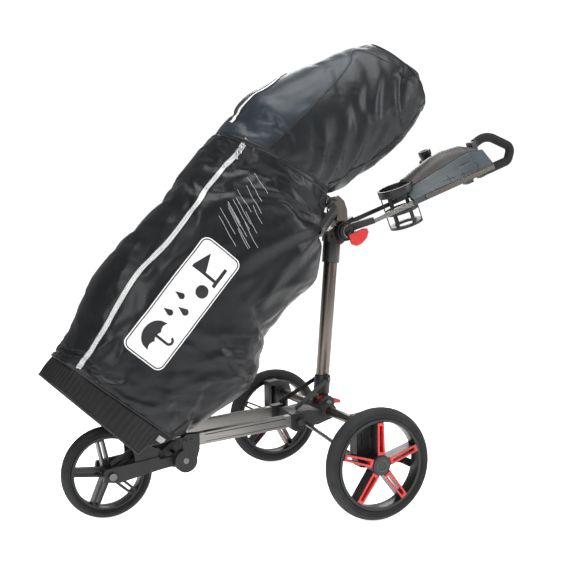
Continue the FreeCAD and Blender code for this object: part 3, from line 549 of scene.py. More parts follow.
def field_height(s, t, side):
    """Height of the short folds at a place on one side of the cover."""
    total = 0.0
    for s0, t0, cs, ct, length, width, height in (
            LEFT_FIELD if side < 0 else RIGHT_FIELD):
        ds, dt = s - s0, t - t0
        off = ds * ct - dt * cs
        f = (ds * cs + dt * ct) / length
        if abs(off) <= 5 * width and 0 < f < 1:
            total += height * math.sin(math.pi * f) * fold_shape(off / width)
    return total


SLIDER_SPOTS = (0.15, 0.60)   # share of the cover's last bay
ZIP_TURN = math.radians(223.7)
CALM_NEAR, CALM_FAR = 0.018, 0.060
SLIDER_PLACES = [cloth_point(station_at(BODY_STATIONS, len(BODY_STATIONS) - 2 + share),
                             ZIP_TURN) for share in SLIDER_SPOTS]


def calm(point):
    """0 beside the zip sliders, which need still cloth, and 1 far away."""
    nearest = min((point - spot).length for spot in SLIDER_PLACES)
    f = min(1.0, max(0.0, (nearest - CALM_NEAR) / (CALM_FAR - CALM_NEAR)))
    return f * f * (3 - 2 * f)


def crumple(point, scale, stretch):
    """Ridged noise, which looks like creased cloth."""
    p = Vector([a * b for a, b in zip(point, stretch)]) * scale
    warp = noise.noise_vector(p * 0.6) * 0.5
    return 1.0 - 2.0 * abs(noise.noise(p + warp))


# The hood's blue-grey front panel ends at a plane through two places.
PANEL_LOW = cloth_point(station_at(HOOD_STATIONS, 0.1), math.radians(247))
PANEL_HIGH = cloth_point(station_at(HOOD_STATIONS, 5.2), math.radians(196))
PANEL_NORMAL = Vector((PANEL_HIGH.z - PANEL_LOW.z, 0,
                       PANEL_LOW.x - PANEL_HIGH.x)).normalized()


def panel_angle(u):
    """Angle on the left side of the hood where the panels meet."""
    station = station_at(HOOD_STATIONS, u)
    low, high = math.pi, 1.5 * math.pi
    front = (cloth_point(station, math.pi) - PANEL_LOW).dot(PANEL_NORMAL)
    for _ in range(30):
        middle = (low + high) / 2
        gap = (cloth_point(station, middle) - PANEL_LOW).dot(PANEL_NORMAL)
        if gap * front > 0:
            low = middle
        else:
            high = middle
    return math.degrees((low + high) / 2)


def panelled_nylon(name, front, rear, rough, specular):
    """Coated nylon in two colours that meet at the hood's panel seam."""
    look = nylon(name, shade(front, 0.8), shade(front, 1.25), rough, specular)
    plain = look.shader.inputs["Base Color"].links[0].from_socket
    dull = look.node("HueSaturation", "Color", Color=plain, Saturation=0.6,
                     Value=sum(rear) / sum(front))
    mix = new_node(look.tree, "Mix")
    mix.data_type = "RGBA"
    put(look.tree, mix, Factor=look.beyond(PANEL_LOW, PANEL_NORMAL, 0.001), A=plain,
        B=dull)
    look.shade(Base_Color=mix.outputs["Result"])


panelled_nylon("hood_cloth", (0.0165, 0.0235, 0.0300), (0.0080, 0.0090, 0.0110),
               0.40, 0.27)
BODY_ROWS, HOOD_ROWS, COLUMNS = 104, 66, 132
END_ROWS = 10
END_BULGE = 0.003
MARGIN = 5             # rows over which folds fade towards a seam


def loft_points(stations, rows):
    """Grid of points over a run of stations."""
    grid = []
    for i in range(rows):
        station = station_at(stations, (len(stations) - 1) * i / (rows - 1))
        grid.append([cloth_point(station, 2 * math.pi * j / COLUMNS)
                     for j in range(COLUMNS)])
    return grid


def grid_normals(grid):
    """Normal at each point of a closed grid."""
    return [[(ahead - behind).cross(up - down).normalized()
             for ahead, behind, up, down in zip(row[1:] + row[:1], row[-1:] + row[:-1],
                                                above, below)]
            for row, above, below in zip(grid, grid[1:] + grid[-1:],
                                         grid[:1] + grid[:-1])]


def crease_cloth(grid, amount, far_end_held):
    """Push a grid of cloth points along their normals into folds."""
    normals = grid_normals(grid)
    rows = len(grid)
    middle = grid[rows // 2]
    centre = sum(middle, Vector()) / len(middle)
    turn = 1.0 if normals[rows // 2][0].dot(middle[0] - centre) > 0 else -1.0
    for i, line in enumerate(grid):
        ends = min(1.0, i / MARGIN)
        if far_end_held:
            ends = min(ends, (rows - 1 - i) / MARGIN)
        ends = max(0.12, ends)
        for j, p in enumerate(line):
            normal = normals[i][j] * turn
            s, t = bag_st(p)
            facing = abs(normal.y) ** 0.5
            height = fold_height(s, t, p.y) * facing
            height += field_height(s, t, p.y) * (0.3 + 0.7 * facing)
            height += 2.6 * crumple(p, 8.0, (1.2, 0.8, 0.55))
            height += 0.8 * crumple(p, 23.0, (1.0, 0.9, 0.7))
            grid[i][j] = p + normal * (height * amount * ends * calm(p) * MM)
    return grid


CLOTH_FRAMES = 18
CLOTH_VALUES = {"quality": 6, "mass": 0.12, "tension_stiffness": 25,
                "compression_stiffness": 25, "shear_stiffness": 8,
                "bending_stiffness": 0.25, "air_damping": 4,
                "vertex_group_mass": "held", "use_pressure": True,
                "uniform_pressure_force": 1.2}


def settle(obj, held, grow, cap):
    """Cloth simulation that buckles a slightly larger cloth into creases."""
    start = np.array([v.co for v in obj.data.vertices])
    obj.vertex_groups.new(name="held").add(held, 1.0, "REPLACE")
    cloth = obj.modifiers.new("cloth", "CLOTH")
    for key, value in CLOTH_VALUES.items():
        setattr(cloth.settings, key, value)
    cloth.settings.shrink_min = -grow
    cloth.settings.effector_weights.gravity = 0.0
    cloth.collision_settings.use_collision = False
    scene = bpy.context.scene
    for step in range(1, CLOTH_FRAMES + 1):
        scene.frame_set(step)
    result = obj.evaluated_get(bpy.context.evaluated_depsgraph_get())
    delta = np.array([v.co for v in result.data.vertices]) - start
    obj.modifiers.remove(cloth)
    obj.vertex_groups.clear()
    scene.frame_set(1)
    delta *= cap / np.maximum(cap, np.linalg.norm(delta, axis=1, keepdims=True))
    for vertex, place in zip(obj.data.vertices, start + delta):
        vertex.co = place


def subdivided(obj):
    """Apply a subdivision so that the final mesh is fine and smooth."""
    fine = obj.modifiers.new("fine", "SUBSURF")
    fine.levels = fine.render_levels = 1
    depsgraph = bpy.context.evaluated_depsgraph_get()
    data = bpy.data.meshes.new_from_object(obj.evaluated_get(depsgraph))
    obj.modifiers.clear()
    obj.data = data
    data.polygons.foreach_set("use_smooth", [True] * len(data.polygons))
    return obj


def end_rows(rows):
    """Indices of the points in the first and the last row of a grid."""
    return [j for cap in (0, (rows - 1) * COLUMNS) for j in range(cap, cap + COLUMNS)]


def cover_body():
    """Creased cloth of the cover's body."""
    grid = crease_cloth(loft_points(BODY_STATIONS, BODY_ROWS), 1.0, True)
    points = [p for line in grid for p in line]
    obj = mesh_object("cover_cloth_body", (points, grid_faces(BODY_ROWS, COLUMNS, True)),
                      "cover_cloth")
    still = [i for i, p in enumerate(points) if calm(p) < 0.5]
    settle(obj, end_rows(BODY_ROWS) + still, 0.035, 0.012)
    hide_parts("cover_body")
    return subdivided(obj)


def cover_hood():
    """Creased cloth of the hood, closed by a slightly domed end."""
    grid = loft_points(HOOD_STATIONS, HOOD_ROWS)
    last = grid[-1]
    centre = sum(last, Vector()) / COLUMNS
    before = sum(grid[-8], Vector()) / COLUMNS
    bulge = (centre - before).normalized() * END_BULGE
    for k in range(1, END_ROWS):
        share = 1 - k / END_ROWS
        grid.append([centre + (p - centre) * share + bulge * (1 - share ** 2)
                     for p in last])
    grid = crease_cloth(grid, 0.9, False)
    points = [p for line in grid for p in line] + [centre + bulge]
    start = (len(grid) - 1) * COLUMNS
    tip = [(start + j, start + (j + 1) % COLUMNS, len(points) - 1)
           for j in range(COLUMNS)]
    obj = mesh_object("cover_cloth_hood",
                      (points, grid_faces(len(grid), COLUMNS, True) + tip),
                      "hood_cloth")
    settle(obj, end_rows(HOOD_ROWS), 0.03, 0.009)
    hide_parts("cover_hood")
    return subdivided(obj)


HEM_REAR_Z = 204.0     # the band stops here at its rear, above the rails
HEM_REAR_X = -565.0
BAND_ROWS = 12
GATHERS = 78


def band_fall(angle):
    """Upper and lower point of the elastic band at an angle round it."""
    top, low = (cloth_point(station_at(SKIRT_STATIONS, k), angle) for k in (0, 1))
    if low.x > at(HEM_REAR_X, 0, 0).x and low.z < HEM_REAR_Z * MM:
        reach = (top.z - HEM_REAR_Z * MM) / (top.z - low.z)
        low = top.lerp(low, min(1.0, max(0.02, reach)))
    return top, low


def cover_band():
    """Gathered elastic band below the cover's hem seam."""
    columns = GATHERS * 6
    angles = [2 * math.pi * j / columns for j in range(columns)]
    falls = [band_fall(angle) for angle in angles]
    grid = [[top.lerp(low, i / (BAND_ROWS - 1)) for top, low in falls]
            for i in range(BAND_ROWS)]
    normals = grid_normals(grid)
    points = []
    for i, line in enumerate(grid):
        swell = math.sin(math.pi * i / (BAND_ROWS - 1)) ** 0.6
        for p, normal, angle in zip(line, normals[i], angles):
            wave = math.sin(angle * GATHERS + 2.0 * noise.noise(p * 18.0)) * swell
            points.append(p - normal * (0.0016 * wave + 0.002 * noise.noise(p * 30.0)))
    obj = mesh_object("cover_elastic_band", (points, grid_faces(BAND_ROWS, columns, True)),
                      "band_cloth")
    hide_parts("cover_skirt")
    thick = obj.modifiers.new("thick", "SOLIDIFY")
    thick.thickness = 0.002
    thick.offset = 0
    return obj


# ---- trims laid on the finished cloth --------------------------------------
class Cloth:
    """Finished surfaces that trims are laid on."""

    def __init__(self, objects):
        depsgraph = bpy.context.evaluated_depsgraph_get()
        parts = []
        for obj in objects:
            data = obj.evaluated_get(depsgraph).data
            parts.append(([v.co.copy() for v in data.vertices],
                          [tuple(f.vertices) for f in data.polygons]))
        self.tree = BVHTree.FromPolygons(*merged(parts))

    def cast(self, origin, direction, reach=0.6):
        """Where a ray meets the cloth, and the normal facing the ray."""
        spot, normal, _, _ = self.tree.ray_cast(origin, direction, reach)
        if spot is None:
            return None
        return spot, -normal if normal.dot(direction) > 0 else normal

    def beside(self, s, t):
        """Place on the left of the cover, in bag s, t."""
        x, z = bag_xz(s, t)
        return self.cast(at(x, -420, z), ACROSS)

    def under(self, point, normal):
        """Place on the cloth along the normal through a point near it."""
        found = self.cast(point + normal * 0.02, -normal, 0.05)
        return found[0] if found else point

    def on_loft(self, stations, u, degrees):
        """Place at u along a loft and at an angle round its section."""
        station = station_at(stations, u)
        angle = math.radians(degrees)
        spot = cloth_point(station, angle)
        round_it = cloth_point(station, angle + 0.02) - cloth_point(station, angle - 0.02)
        last = len(stations) - 1
        up = (cloth_point(station_at(stations, min(u + 0.05, last)), angle)
              - cloth_point(station_at(stations, max(u - 0.05, 0)), angle))
        normal = round_it.cross(up).normalized()
        if normal.dot(spot - cloth_point(station, angle, 0.0)) < 0:
            normal = -normal
        return self.cast(spot + normal * 0.05, -normal, 0.12) or (spot, normal)

    def line(self, stations, route, closed=False):
        """Line through places (u, degrees) of a loft."""
        return track([self.on_loft(stations, u, a) for u, a in route], closed)

    def ring(self, stations, u, step=2):
        """Closed line round a loft."""
        return self.line(stations, [(u, a) for a in range(0, 360, step)], True)

    def beside_line(self, line, aside, lift):
        """Points beside a line on the cloth, lifted off it."""
        return eased([self.under(p + n.cross(t).normalized() * aside, n) + n * lift
                      for p, n, t in zip(*line, tangents_of(line[0]))], 1)


def eased(vectors, reach, closed=False):
    """Moving average of a list of vectors."""
    n = len(vectors)
    out = []
    for i in range(n):
        total = Vector()
        for k in range(i - reach, i + reach + 1):
            total += vectors[k % n if closed else min(max(k, 0), n - 1)]
        out.append(total / (2 * reach + 1))
    return out


def track(places, closed=False):
    """Even line of points and normals from a list of cloth places."""
    spots = eased([p for p, _ in places], 1, closed)
    return spots, [n.normalized() for n in eased([n for _, n in places], 3, closed)]


def lifted(line, lift):
    """Points of a line, lifted along its normals."""
    return [p + n * lift for p, n in zip(*line)]


def band_data(cloth, line, half, lift, columns=5, taper=0.0):
    """Film or webbing of some width that follows the cloth."""
    spots, normals = line
    verts = []
    for i, (p, n, t) in enumerate(zip(spots, normals, tangents_of(spots))):
        side = n.cross(t).normalized()
        width = half * (1.0 - taper * (i / (len(spots) - 1)))
        row = [cloth.under(p + side * (width * (2 * k / (columns - 1) - 1)), n) + n * lift
               for k in range(columns)]
        sunk = n * (lift + 0.0006)
        verts += [row[0] - sunk] + row + [row[-1] - sunk]
    return verts, grid_faces(len(spots), columns + 2)


def cloth_band(name, cloth, line, half, lift, look, slot=None, closed=False, **more):
    """Piece made of one band."""
    if closed:
        line = (line[0] + line[0][:1], line[1] + line[1][:1])
    mesh_object(name, band_data(cloth, line, half, lift, **more), look)


def resampled(points, step):
    """Points a fixed distance apart along a polyline."""
    out, left = [points[0]], step
    for a, b in zip(points, points[1:]):
        length = (b - a).length
        at_length = 0.0
        while length - at_length >= left:
            at_length += left
            out.append(a.lerp(b, at_length / length))
            left = step
        left -= length - at_length
    return out


STITCH, STITCH_GAP, THREAD_R = 0.0034, 0.0026, 0.00042


def stitches(name, lines):
    """Rows of sewn stitches, each one a short thread."""
    parts = []
    for line in lines:
        marks = resampled(line, STITCH + STITCH_GAP)
        for a, b in zip(marks, marks[1:]):
            along = (b - a).normalized()
            end = a + along * STITCH
            parts.append(tube_data([a - along * 0.0002, (a + end) / 2, end], THREAD_R, 5))
    mesh_object(name, merged(parts), "thread")


ZIP_ROUTE = ((806, -137), (761, -136), (682, -145), (586, -149), (472, -153),
             (346, -169), (205, -155), (103, -147), (82, -146))
ZIP_HALF = 0.0082
SEWN = 0.0105          # the zip's stitches, off its middle


def main_zip(cloth):
    """Long reflective zip with black piping, down the left of the cover."""
    places = [cloth.beside(s, t) for s, t in smooth_line(ZIP_ROUTE, 16)]
    line = track([p for p in places if p])
    cloth_band("zip_band", cloth, line, ZIP_HALF, 0.0009, "zip_film")
    for name, aside in (("front", -ZIP_HALF), ("rear", ZIP_HALF)):
        piping("zip_piping_" + name, cloth.beside_line(line, aside, 0.0009), 0.0013)
    coil = tube_data(cloth.beside_line(line, 0.0, 0.0011), 0.0006)
    mesh_object("zip_coil", coil, "zip_metal")
    stitches("zip_stitching", [cloth.beside_line(line, a, 0.0004) for a in (-SEWN, SEWN)])


HOOD_ZIP = ((0.55, 188), (1.23, 187), (1.73, 190), (2.1, 191), (2.33, 191),
            (2.57, 187), (2.83, 178), (3.05, 172))
HOOD_ZIP_EDGE = 0.0085


def hood_zip(cloth):
    """White tapered zip flap over the front of the hood."""
    route = smooth_line(HOOD_ZIP, 10)
    line = cloth.line(HOOD_STATIONS, route)
    cloth_band("hood_zip_band", cloth, line, 0.0058, 0.0011, "white_film", taper=0.55)
    front = cloth.beside_line(line, -HOOD_ZIP_EDGE, 0.0009)
    rear = cloth.beside_line(line, HOOD_ZIP_EDGE, 0.0009)
    piping("hood_zip_piping_front", front, 0.0013)
    piping("hood_zip_piping_rear", rear, 0.0011)
    flap = cloth.line(HOOD_STATIONS, [(u, a - (14 if a > 180 else 12)) for u, a in route])
    stitches("hood_zip_stitching", [cloth.beside_line(flap, 0.0, 0.0004), rear])


PANEL_SEAM = tuple((u, panel_angle(u)) for u in
                   (0.12, 0.8, 1.5, 2.2, 2.9, 3.6, 4.3, 5.0, 5.7, 6.3))
END_SEAM_U = 6.35
LOWER_SEAM = ((END_SEAM_U, 322), (5.3, 320), (4.0, 318), (2.9, 322), (1.5, 319),
              (0.2, 316))
SIDES = (("left", lambda a: a), ("right", lambda a: 360 - a))


def hood_seams(cloth):
    """Piped seams that join the panels of the hood."""
    for side, turn in SIDES:
        for piece, route in (("panel", PANEL_SEAM), ("lower", LOWER_SEAM)):
            line = cloth.line(HOOD_STATIONS, [(u, turn(a)) for u, a in smooth_line(route, 10)])
            piping("hood_%s_seam_%s" % (piece, side), cloth.beside_line(line, 0, 0.0008),
                   0.0015)
            stitches("hood_%s_stitches_%s" % (piece, side),
                     [cloth.beside_line(line, a, 0.0003) for a in (-0.004, 0.004)])
    ring = cloth.ring(HOOD_STATIONS, END_SEAM_U, 3)
    piping("hood_end_seam", lifted(ring, 0.0008), 0.0017, True)


def joining_seam(cloth):
    """Folded double-stitched edge where the cover's body meets the hood."""
    ring = cloth.ring(BODY_STATIONS, 9.90)
    cloth_band("seam_fold", cloth, ring, 0.0075, 0.0016, "cover_cloth", "cover_cloth",
               closed=True)
    upper = cloth.ring(BODY_STATIONS, 10.0)
    piping("seam_edge", lifted(upper, 0.0018), 0.0024, True)
    stitches("seam_stitching",
             [lifted((cloth.beside_line(ring, aside, 0.0), ring[1]), 0.0018)
              for aside in (-0.0035, 0.0035)])


def hem_seam(cloth):
    """Rolled seam between the cover and its elastic band."""
    piping("hem_roll", lifted(cloth.ring(BODY_STATIONS, 0.06), 0.0006), 0.0026, True)
    stitches("hem_stitching", [lifted(cloth.ring(BODY_STATIONS, 0.2), 0.0004)])


# Patch on the left side: its centre in bag s, t, its size and its tilt.
PATCH_ST = (359.0, -41.0)
PATCH_LENGTH, PATCH_WIDTH, PATCH_RADIUS = 346.0, 121.0, 21.0
PATCH_TILT = math.radians(2.2)
OUTLINE_INSET = 4.5
FIGURE_ROWS = 9
FIGURE_LIFT = 0.0017


def on_patch(cloth, a, b):
    """Place on the cloth of a patch point: a along the patch, b up across it."""
    c, s = math.cos(PATCH_TILT), math.sin(PATCH_TILT)
    return cloth.beside(PATCH_ST[0] + a * c + b * s, PATCH_ST[1] + a * s - b * c)


def patch_point(cloth, a, b, lift):
    """Point at some height over a patch point."""
    spot, normal = on_patch(cloth, a, b)
    return spot + normal * lift


def patch_reach(b):
    """Half length of the patch, a rounded rectangle, at height b."""
    over = abs(b) - (PATCH_WIDTH / 2 - PATCH_RADIUS)
    if over <= 0:
        return PATCH_LENGTH / 2
    round_end = math.sqrt(max(0.0, PATCH_RADIUS ** 2 - over ** 2))
    return PATCH_LENGTH / 2 - PATCH_RADIUS + round_end


def patch(cloth):
    """White patch with a black outline."""
    rows, columns = 31, 85
    verts = []
    for i in range(rows):
        share = 2 * i / (rows - 1) - 1
        b = PATCH_WIDTH / 2 * math.sin(share * math.pi / 2)
        reach = patch_reach(b)
        verts += [patch_point(cloth, reach * (2 * j / (columns - 1) - 1), b, 0.0010)
                  for j in range(columns)]
    mesh_object("patch", (verts, grid_faces(rows, columns)), "white_film")
    outline = []
    radius = PATCH_RADIUS - OUTLINE_INSET
    for corner in range(4):
        ca = (1 if corner in (0, 3) else -1) * (PATCH_LENGTH / 2 - PATCH_RADIUS)
        cb = (1 if corner in (0, 1) else -1) * (PATCH_WIDTH / 2 - PATCH_RADIUS)
        for k in range(13):
            w = math.pi / 2 * (corner + k / 12)
            outline.append((ca + radius * math.cos(w), cb + radius * math.sin(w)))
    dense = []
    for p, q in zip(outline, outline[1:] + outline[:1]):
        pieces = max(1, int(math.dist(p, q) / 5))
        dense += [(p[0] + (q[0] - p[0]) * k / pieces, p[1] + (q[1] - p[1]) * k / pieces)
                  for k in range(pieces)]
    line = track([on_patch(cloth, a, b) for a, b in dense], True)
    cloth_band("patch_outline", cloth, line, 0.0014, 0.0016, "black_ink", closed=True,
               columns=3)


def span(a0, a1, low, high, steps=24):
    """Columns (a, low b, high b) of a figure, from edges that may vary with a."""
    out = []
    for k in range(steps + 1):
        a = a0 + (a1 - a0) * k / steps
        under, over = (edge(a) if callable(edge) else edge for edge in (low, high))
        out.append((a, under, max(over, under + 0.01)))
    return out


def dome(centre, radius, height):
    """Half ellipse over a centre."""
    return lambda a: height * math.sqrt(max(0.0, 1 - ((a - centre) / radius) ** 2))


def rain_drop(a0, b0, size):
    """Drop with a round foot and a pointed top."""
    half = size * 0.55
    foot = dome(a0, half, size * 0.62)
    return span(a0 - half, a0 + half, lambda a: b0 - foot(a),
                lambda a: b0 + size * 1.25 * max(0.0, 1 - abs(a - a0) / half) ** 1.15)


def umbrella(centre, spread):
    """Canopy with three scallops, a stick and a hooked handle."""
    hook, inner = dome(centre + 9.0, 12.4, 12.4), dome(centre + 9.0, 5.6, 5.6)
    return [span(centre - spread, centre + spread,
                 lambda a: 5.0 * abs(math.sin((a - centre + spread) / (2 * spread)
                                              * 3 * math.pi)),
                 dome(centre, spread, 39.0)),
            span(centre - 3.4, centre + 3.4, -30.0, 6.0, 4),
            span(centre - 3.4, centre + 21.4, lambda a: -29.0 - hook(a),
                 lambda a: -29.0 - inner(a))]


def pictogram(cloth):
    """Umbrella, rain drops, ball and flag, each a plain black figure."""
    ball = dome(52.0, 17.0, 17.0)
    figures = umbrella(-104.0, 41.0) + [rain_drop(*drop) for drop in (
        (-38, 14, 15), (-14, -16, 17), (12, 16, 15))]
    figures += [span(35, 69, lambda a: -20 - ball(a), lambda a: -20 + ball(a)),
                span(88, 96, -38.0, 39.0, 4),
                span(96, 142, lambda a: 2 + (a - 96) * 0.4, lambda a: 39 - (a - 96) * 0.4),
                span(78, 134, -40.0, -31.0)]
    parts = []
    for columns in figures:
        verts = [patch_point(cloth, a, low + (high - low) * k / (FIGURE_ROWS - 1),
                             FIGURE_LIFT)
                 for a, low, high in columns for k in range(FIGURE_ROWS)]
        parts.append((verts, grid_faces(len(columns), FIGURE_ROWS)))
    mesh_object("patch_pictogram", merged(parts), "black_ink")


# Groups of rain streaks: first s, t, step to the next, length and count.
STREAK_GROUPS = ((742, -77, -21, -1.5, 72, 6), (650, -88, -12, 0.5, 104, 3),
                 (632, -92, -19, -1.0, 78, 3), (668, -40, -24, 4.0, 66, 4))


def rain_streaks(cloth):
    """Thin slanted print lines like driving rain, above the patch."""
    parts = []
    for s0, t0, ds, dt, reach, count in STREAK_GROUPS:
        for k in range(count):
            length = reach * (0.85 + 0.3 * ((k * 7) % 5) / 4)
            s, t = s0 + ds * k, t0 + dt * k - 9 * (k % 2)
            route = [(s, t), (s - 0.24 * length, t + 0.45 * length),
                     (s - 0.44 * length, t + 0.90 * length)]
            line = track([cloth.beside(*st) for st in smooth_line(route)])
            parts.append(band_data(cloth, line, 0.0005, 0.0007, columns=3))
    mesh_object("rain_streaks", merged(parts), "streak_grey")


SNAP_PROFILE = ((-0.0005, 0.0062), (0.0010, 0.0062), (0.0016, 0.0055),
                (0.0016, 0.0046), (0.0026, 0.0043), (0.0031, 0.0034),
                (0.0032, 0.0017), (0.0027, 0.0))


def snaps(cloth):
    """Black press studs, two a side: a ringed cap on a flat collar."""
    for side, turn in SIDES:
        for place, u, angle in (("front", 9.66, 236), ("rear", 9.63, 270)):
            spot, normal = cloth.on_loft(BODY_STATIONS, u, turn(angle))
            mesh_object("snap_%s_%s" % (place, side),
                        lathe_data(spot, normal, SNAP_PROFILE, 28), "black_metal")


def band_trims(cloth):
    """Elastic in the band's edge, and a webbing tab and blank label by it."""
    edge = [band_fall(math.radians(2 * j))[1] for j in range(180)]
    piping("band_elastic", edge, 0.0032, True)
    tab = cloth.line(BODY_STATIONS, [(u, 316) for u in (0.25, 0.5, 0.75, 1.0, 1.25)])
    cloth_band("lower_tab", cloth, tab, 0.011, 0.0024, "cord", "cord")
    label = cloth.line(SKIRT_STATIONS, [(u, 312) for u in (0.12, 0.2, 0.28, 0.36)])
    cloth_band("blank_label", cloth, label, 0.014, 0.0035, "tab_grey")


# ---- details of the frame ---------------------------------------------------
def add_rings(name, rings, look, body):
    """Closed rings of round wire, each one (centre, radius, wire, sides)."""
    first = ACROSS.orthogonal().normalized()
    second = ACROSS.cross(first)
    parts = []
    for centre, radius, wire, sides in rings:
        turns = [2 * math.pi * k / sides for k in range(sides)]
        points = [centre + (first * math.cos(w) + second * math.sin(w)) * radius
                  for w in turns]
        parts.append(tube_data(points, wire, 6, True))
    mesh_object(name, merged(parts), look, body)


WALL_RINGS = ((13.0, 0.9), (17.5, 0.5), (21.5, 0.6))   # in from the rim, depth
HUB_RING = ((0.0004, 0.0150), (-0.0006, 0.0150), (-0.0009, 0.0144),
            (-0.0006, 0.0137), (0.0004, 0.0137))


def wheel_details():
    """Bead and wear rings on the tyre walls, and a ring on each hub."""
    for name, x, y, radius in (("left", 0.0, -WHEEL_Y, REAR_R),
                               ("right", 0.0, WHEEL_Y, REAR_R),
                               ("front", -WHEELBASE, 0.0, FRONT_R)):
        low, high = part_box(name + "_tyre")
        centre = at(x, y, radius)
        rings = []
        for edge, turn in ((low.y, 1), (high.y, -1)):
            for inset, depth in WALL_RINGS:
                place = Vector((centre.x, edge + turn * depth * MM, centre.z))
                rings.append((place, (radius - inset) * MM, 0.0009, 72))
        add_rings(name + "_tyre_rings", rings, "tyre", name + "_wheel")
        if name == "front":
            continue
        low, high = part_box(name + "_hub_cap")
        face, turn = (low.y, 1) if y < 0 else (high.y, -1)
        ring = lathe_data(Vector((centre.x, face, centre.z)), ACROSS * turn, HUB_RING, 48)
        mesh_object(name + "_hub_ring", ring, "steel", name + "_wheel")


SCREW_R = 0.0046
SCREW_PROFILE = ((-0.0004, SCREW_R), (0.0006, SCREW_R), (0.0017, SCREW_R * 0.82),
                 (0.0021, SCREW_R * 0.5), (0.0020, SCREW_R * 0.42),
                 (0.0008, SCREW_R * 0.40), (0.0008, 0.0))


def bracket_screws():
    """Button-head screws in the front hinge brackets."""
    low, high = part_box("front_hinge_brackets")
    heads = []
    for edge, turn in ((low.y, -1), (high.y, 1)):
        for x in (-430, -409):
            spot = at(x, 0, 198)
            spot.y = edge
            heads.append(lathe_data(spot, ACROSS * turn, SCREW_PROFILE, 20))
    mesh_object("bracket_screws", merged(heads), "black_metal")


RAIL_ENDS = ((-372.0, 197.8), (-140.0, 215.8))


def rail_trims():
    """Dark strips along the outer faces, painted shade of the rails' grooves, and dark strips
    on top of the rails.
    """
    low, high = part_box("rails")
    (x0, z0), (x1, z1) = RAIL_ENDS
    along = at(x1, 0, z1) - at(x0, 0, z0)
    half = along.length / 2
    along.normalize()
    axes = (along, ACROSS, Vector((-along.z, 0, along.x)))
    middle = at((x0 + x1) / 2, 0, (z0 + z1) / 2)
    slots, strips = [], []
    for edge, turn in ((low.y, -1), (high.y, 1)):
        # Thin dark strips proud of the outer faces: painted shade of the grooves along each
        # rail.
        for rise, width in ((-8.5, 0.8), (9.5, 1.2)):
            place = middle + axes[2] * rise * MM
            place.y = edge + turn * 0.0001
            slots.append(block_data(place, axes, (half, 0.0004, width * MM), 0.0002))
        place = middle + axes[2] * 0.0161
        place.y = edge - turn * 0.010
        strips.append(block_data(place, axes, (half, 0.0085, 0.0006), 0.0003))
    for name, parts in (("rail_groove_shade_strips", slots), ("rail_top_strips", strips)):
        mesh_object(name, merged(parts), "black_piping", smooth=False)


def clamp_details():
    """Silver crescent on the clamp's cap and a rim round it."""
    low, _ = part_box("cam_cap")
    centre = at(HANDLE_PIVOT[0], 0, HANDLE_PIVOT[1])
    centre.y = low.y + 0.0003
    turns = [math.radians(105 + 150 * k / 28) for k in range(29)]
    arc = [centre + Vector((math.cos(w), 0, math.sin(w))) * 0.0172 for w in turns]
    mesh_object("cap_crescent", tube_data(arc, 0.0011, 8), "silver", "handle")
    add_rings("cap_rim", [(centre + ACROSS * 0.0012, 0.0212, 0.0008, 60)],
              "black_plastic", "handle")


GRIP_ROUTE = ((478.0, 68.0), (556.0, 85.0), (630.0, 20.0), (604.0, -14.0),
              (480.0, -14.0))
GRIP_RADII = (60.0, 20.0, 20.0)
GRIP_START = 507.0     # the console's end, along the handle
GRIP_STEP = 3.0
FOAM_R = 0.0134
FERRULE = ((-0.0004, 0.0100), (-0.0004, 0.0136), (0.0004, 0.0141),
           (0.0050, 0.0141), (0.0056, 0.0132))


def rounded_route(route, radii):
    """Points along straight runs joined by arcs."""
    pts = [np.array(p, float) for p in route]
    out = [pts[0]]
    for p, here, q, radius in zip(pts, pts[1:], pts[2:], radii):
        back = (p - here) / np.linalg.norm(p - here)
        ahead = (q - here) / np.linalg.norm(q - here)
        turn = math.pi - math.acos(float(np.dot(back, ahead)))
        reach = radius * math.tan(turn / 2)
        middle = (back + ahead) / np.linalg.norm(back + ahead)
        centre = here + middle * radius / math.cos(turn / 2)
        a, b = here + back * reach - centre, here + ahead * reach - centre
        count = max(6, int(radius * turn / GRIP_STEP))
        for k in range(count + 1):
            f = k / count
            arm = a * math.sin((1 - f) * turn) + b * math.sin(f * turn)
            out.append(centre + arm / math.sin(turn))
    return out + [pts[-1]]


def spaced(points):
    """Evenly spaced points along a 2-D line."""
    out = [points[0]]
    for a, b in zip(points, points[1:]):
        count = max(1, int(np.linalg.norm(b - a) / GRIP_STEP))
        out += [a + (b - a) * k / count for k in range(1, count + 1)]
    return out


def foam_grip():
    """Smooth foam sleeve on the grip, with a ferrule at each end."""
    points = [on_handle(u, 0, v) for u, v in spaced(rounded_route(GRIP_ROUTE, GRIP_RADII))
              if u >= GRIP_START]
    obj = mesh_object("grip_sleeve", tube_data(points, FOAM_R, 40), "foam", "handle")
    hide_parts("grip_foam")
    rings = [lathe_data(end, ahead - end, FERRULE, 40)
             for end, ahead in (points[:2], points[:-3:-1])]
    mesh_object("grip_ferrules", merged(rings), "black_plastic", "handle")


# Lines on the console's left face, along the handle and up from it.
PANEL_LINES = (((292, 12), (330, 9), (400, 6), (440, 8), (455, 18), (458, 34)),
               ((330, 22), (372, 20)), ((352, 12), (353, 31)),
               ((392, 18), (432, 17)), ((400, 10), (401, 26)))


def console_details():
    """Dark lines on the slanted left face of the console, painted shade of its pressed
    grooves.
    """
    face = Cloth((bpy.data.objects["console"],))
    lines = []
    for route in PANEL_LINES:
        found = [face.cast(on_handle(u, -260, v), ACROSS) for u, v in smooth_line(route)]
        points = [spot[0] + spot[1] * 0.0002 for spot in found if spot]
        if len(points) > 3:
            lines.append(tube_data(points, 0.0007, 6))
    # Dark tubes proud of the face: painted shade of the console's pressed grooves.
    mesh_object("console_groove_shade_lines", merged(lines), "black_piping", "handle")


LOCK_PROFILE = ((-0.0110, 0.0), (-0.0110, 0.0060), (-0.0095, 0.0072),
                (0.0060, 0.0072), (0.0072, 0.0058), (0.0074, 0.0044),
                (0.0110, 0.0042), (0.0122, 0.0030), (0.0124, 0.0))


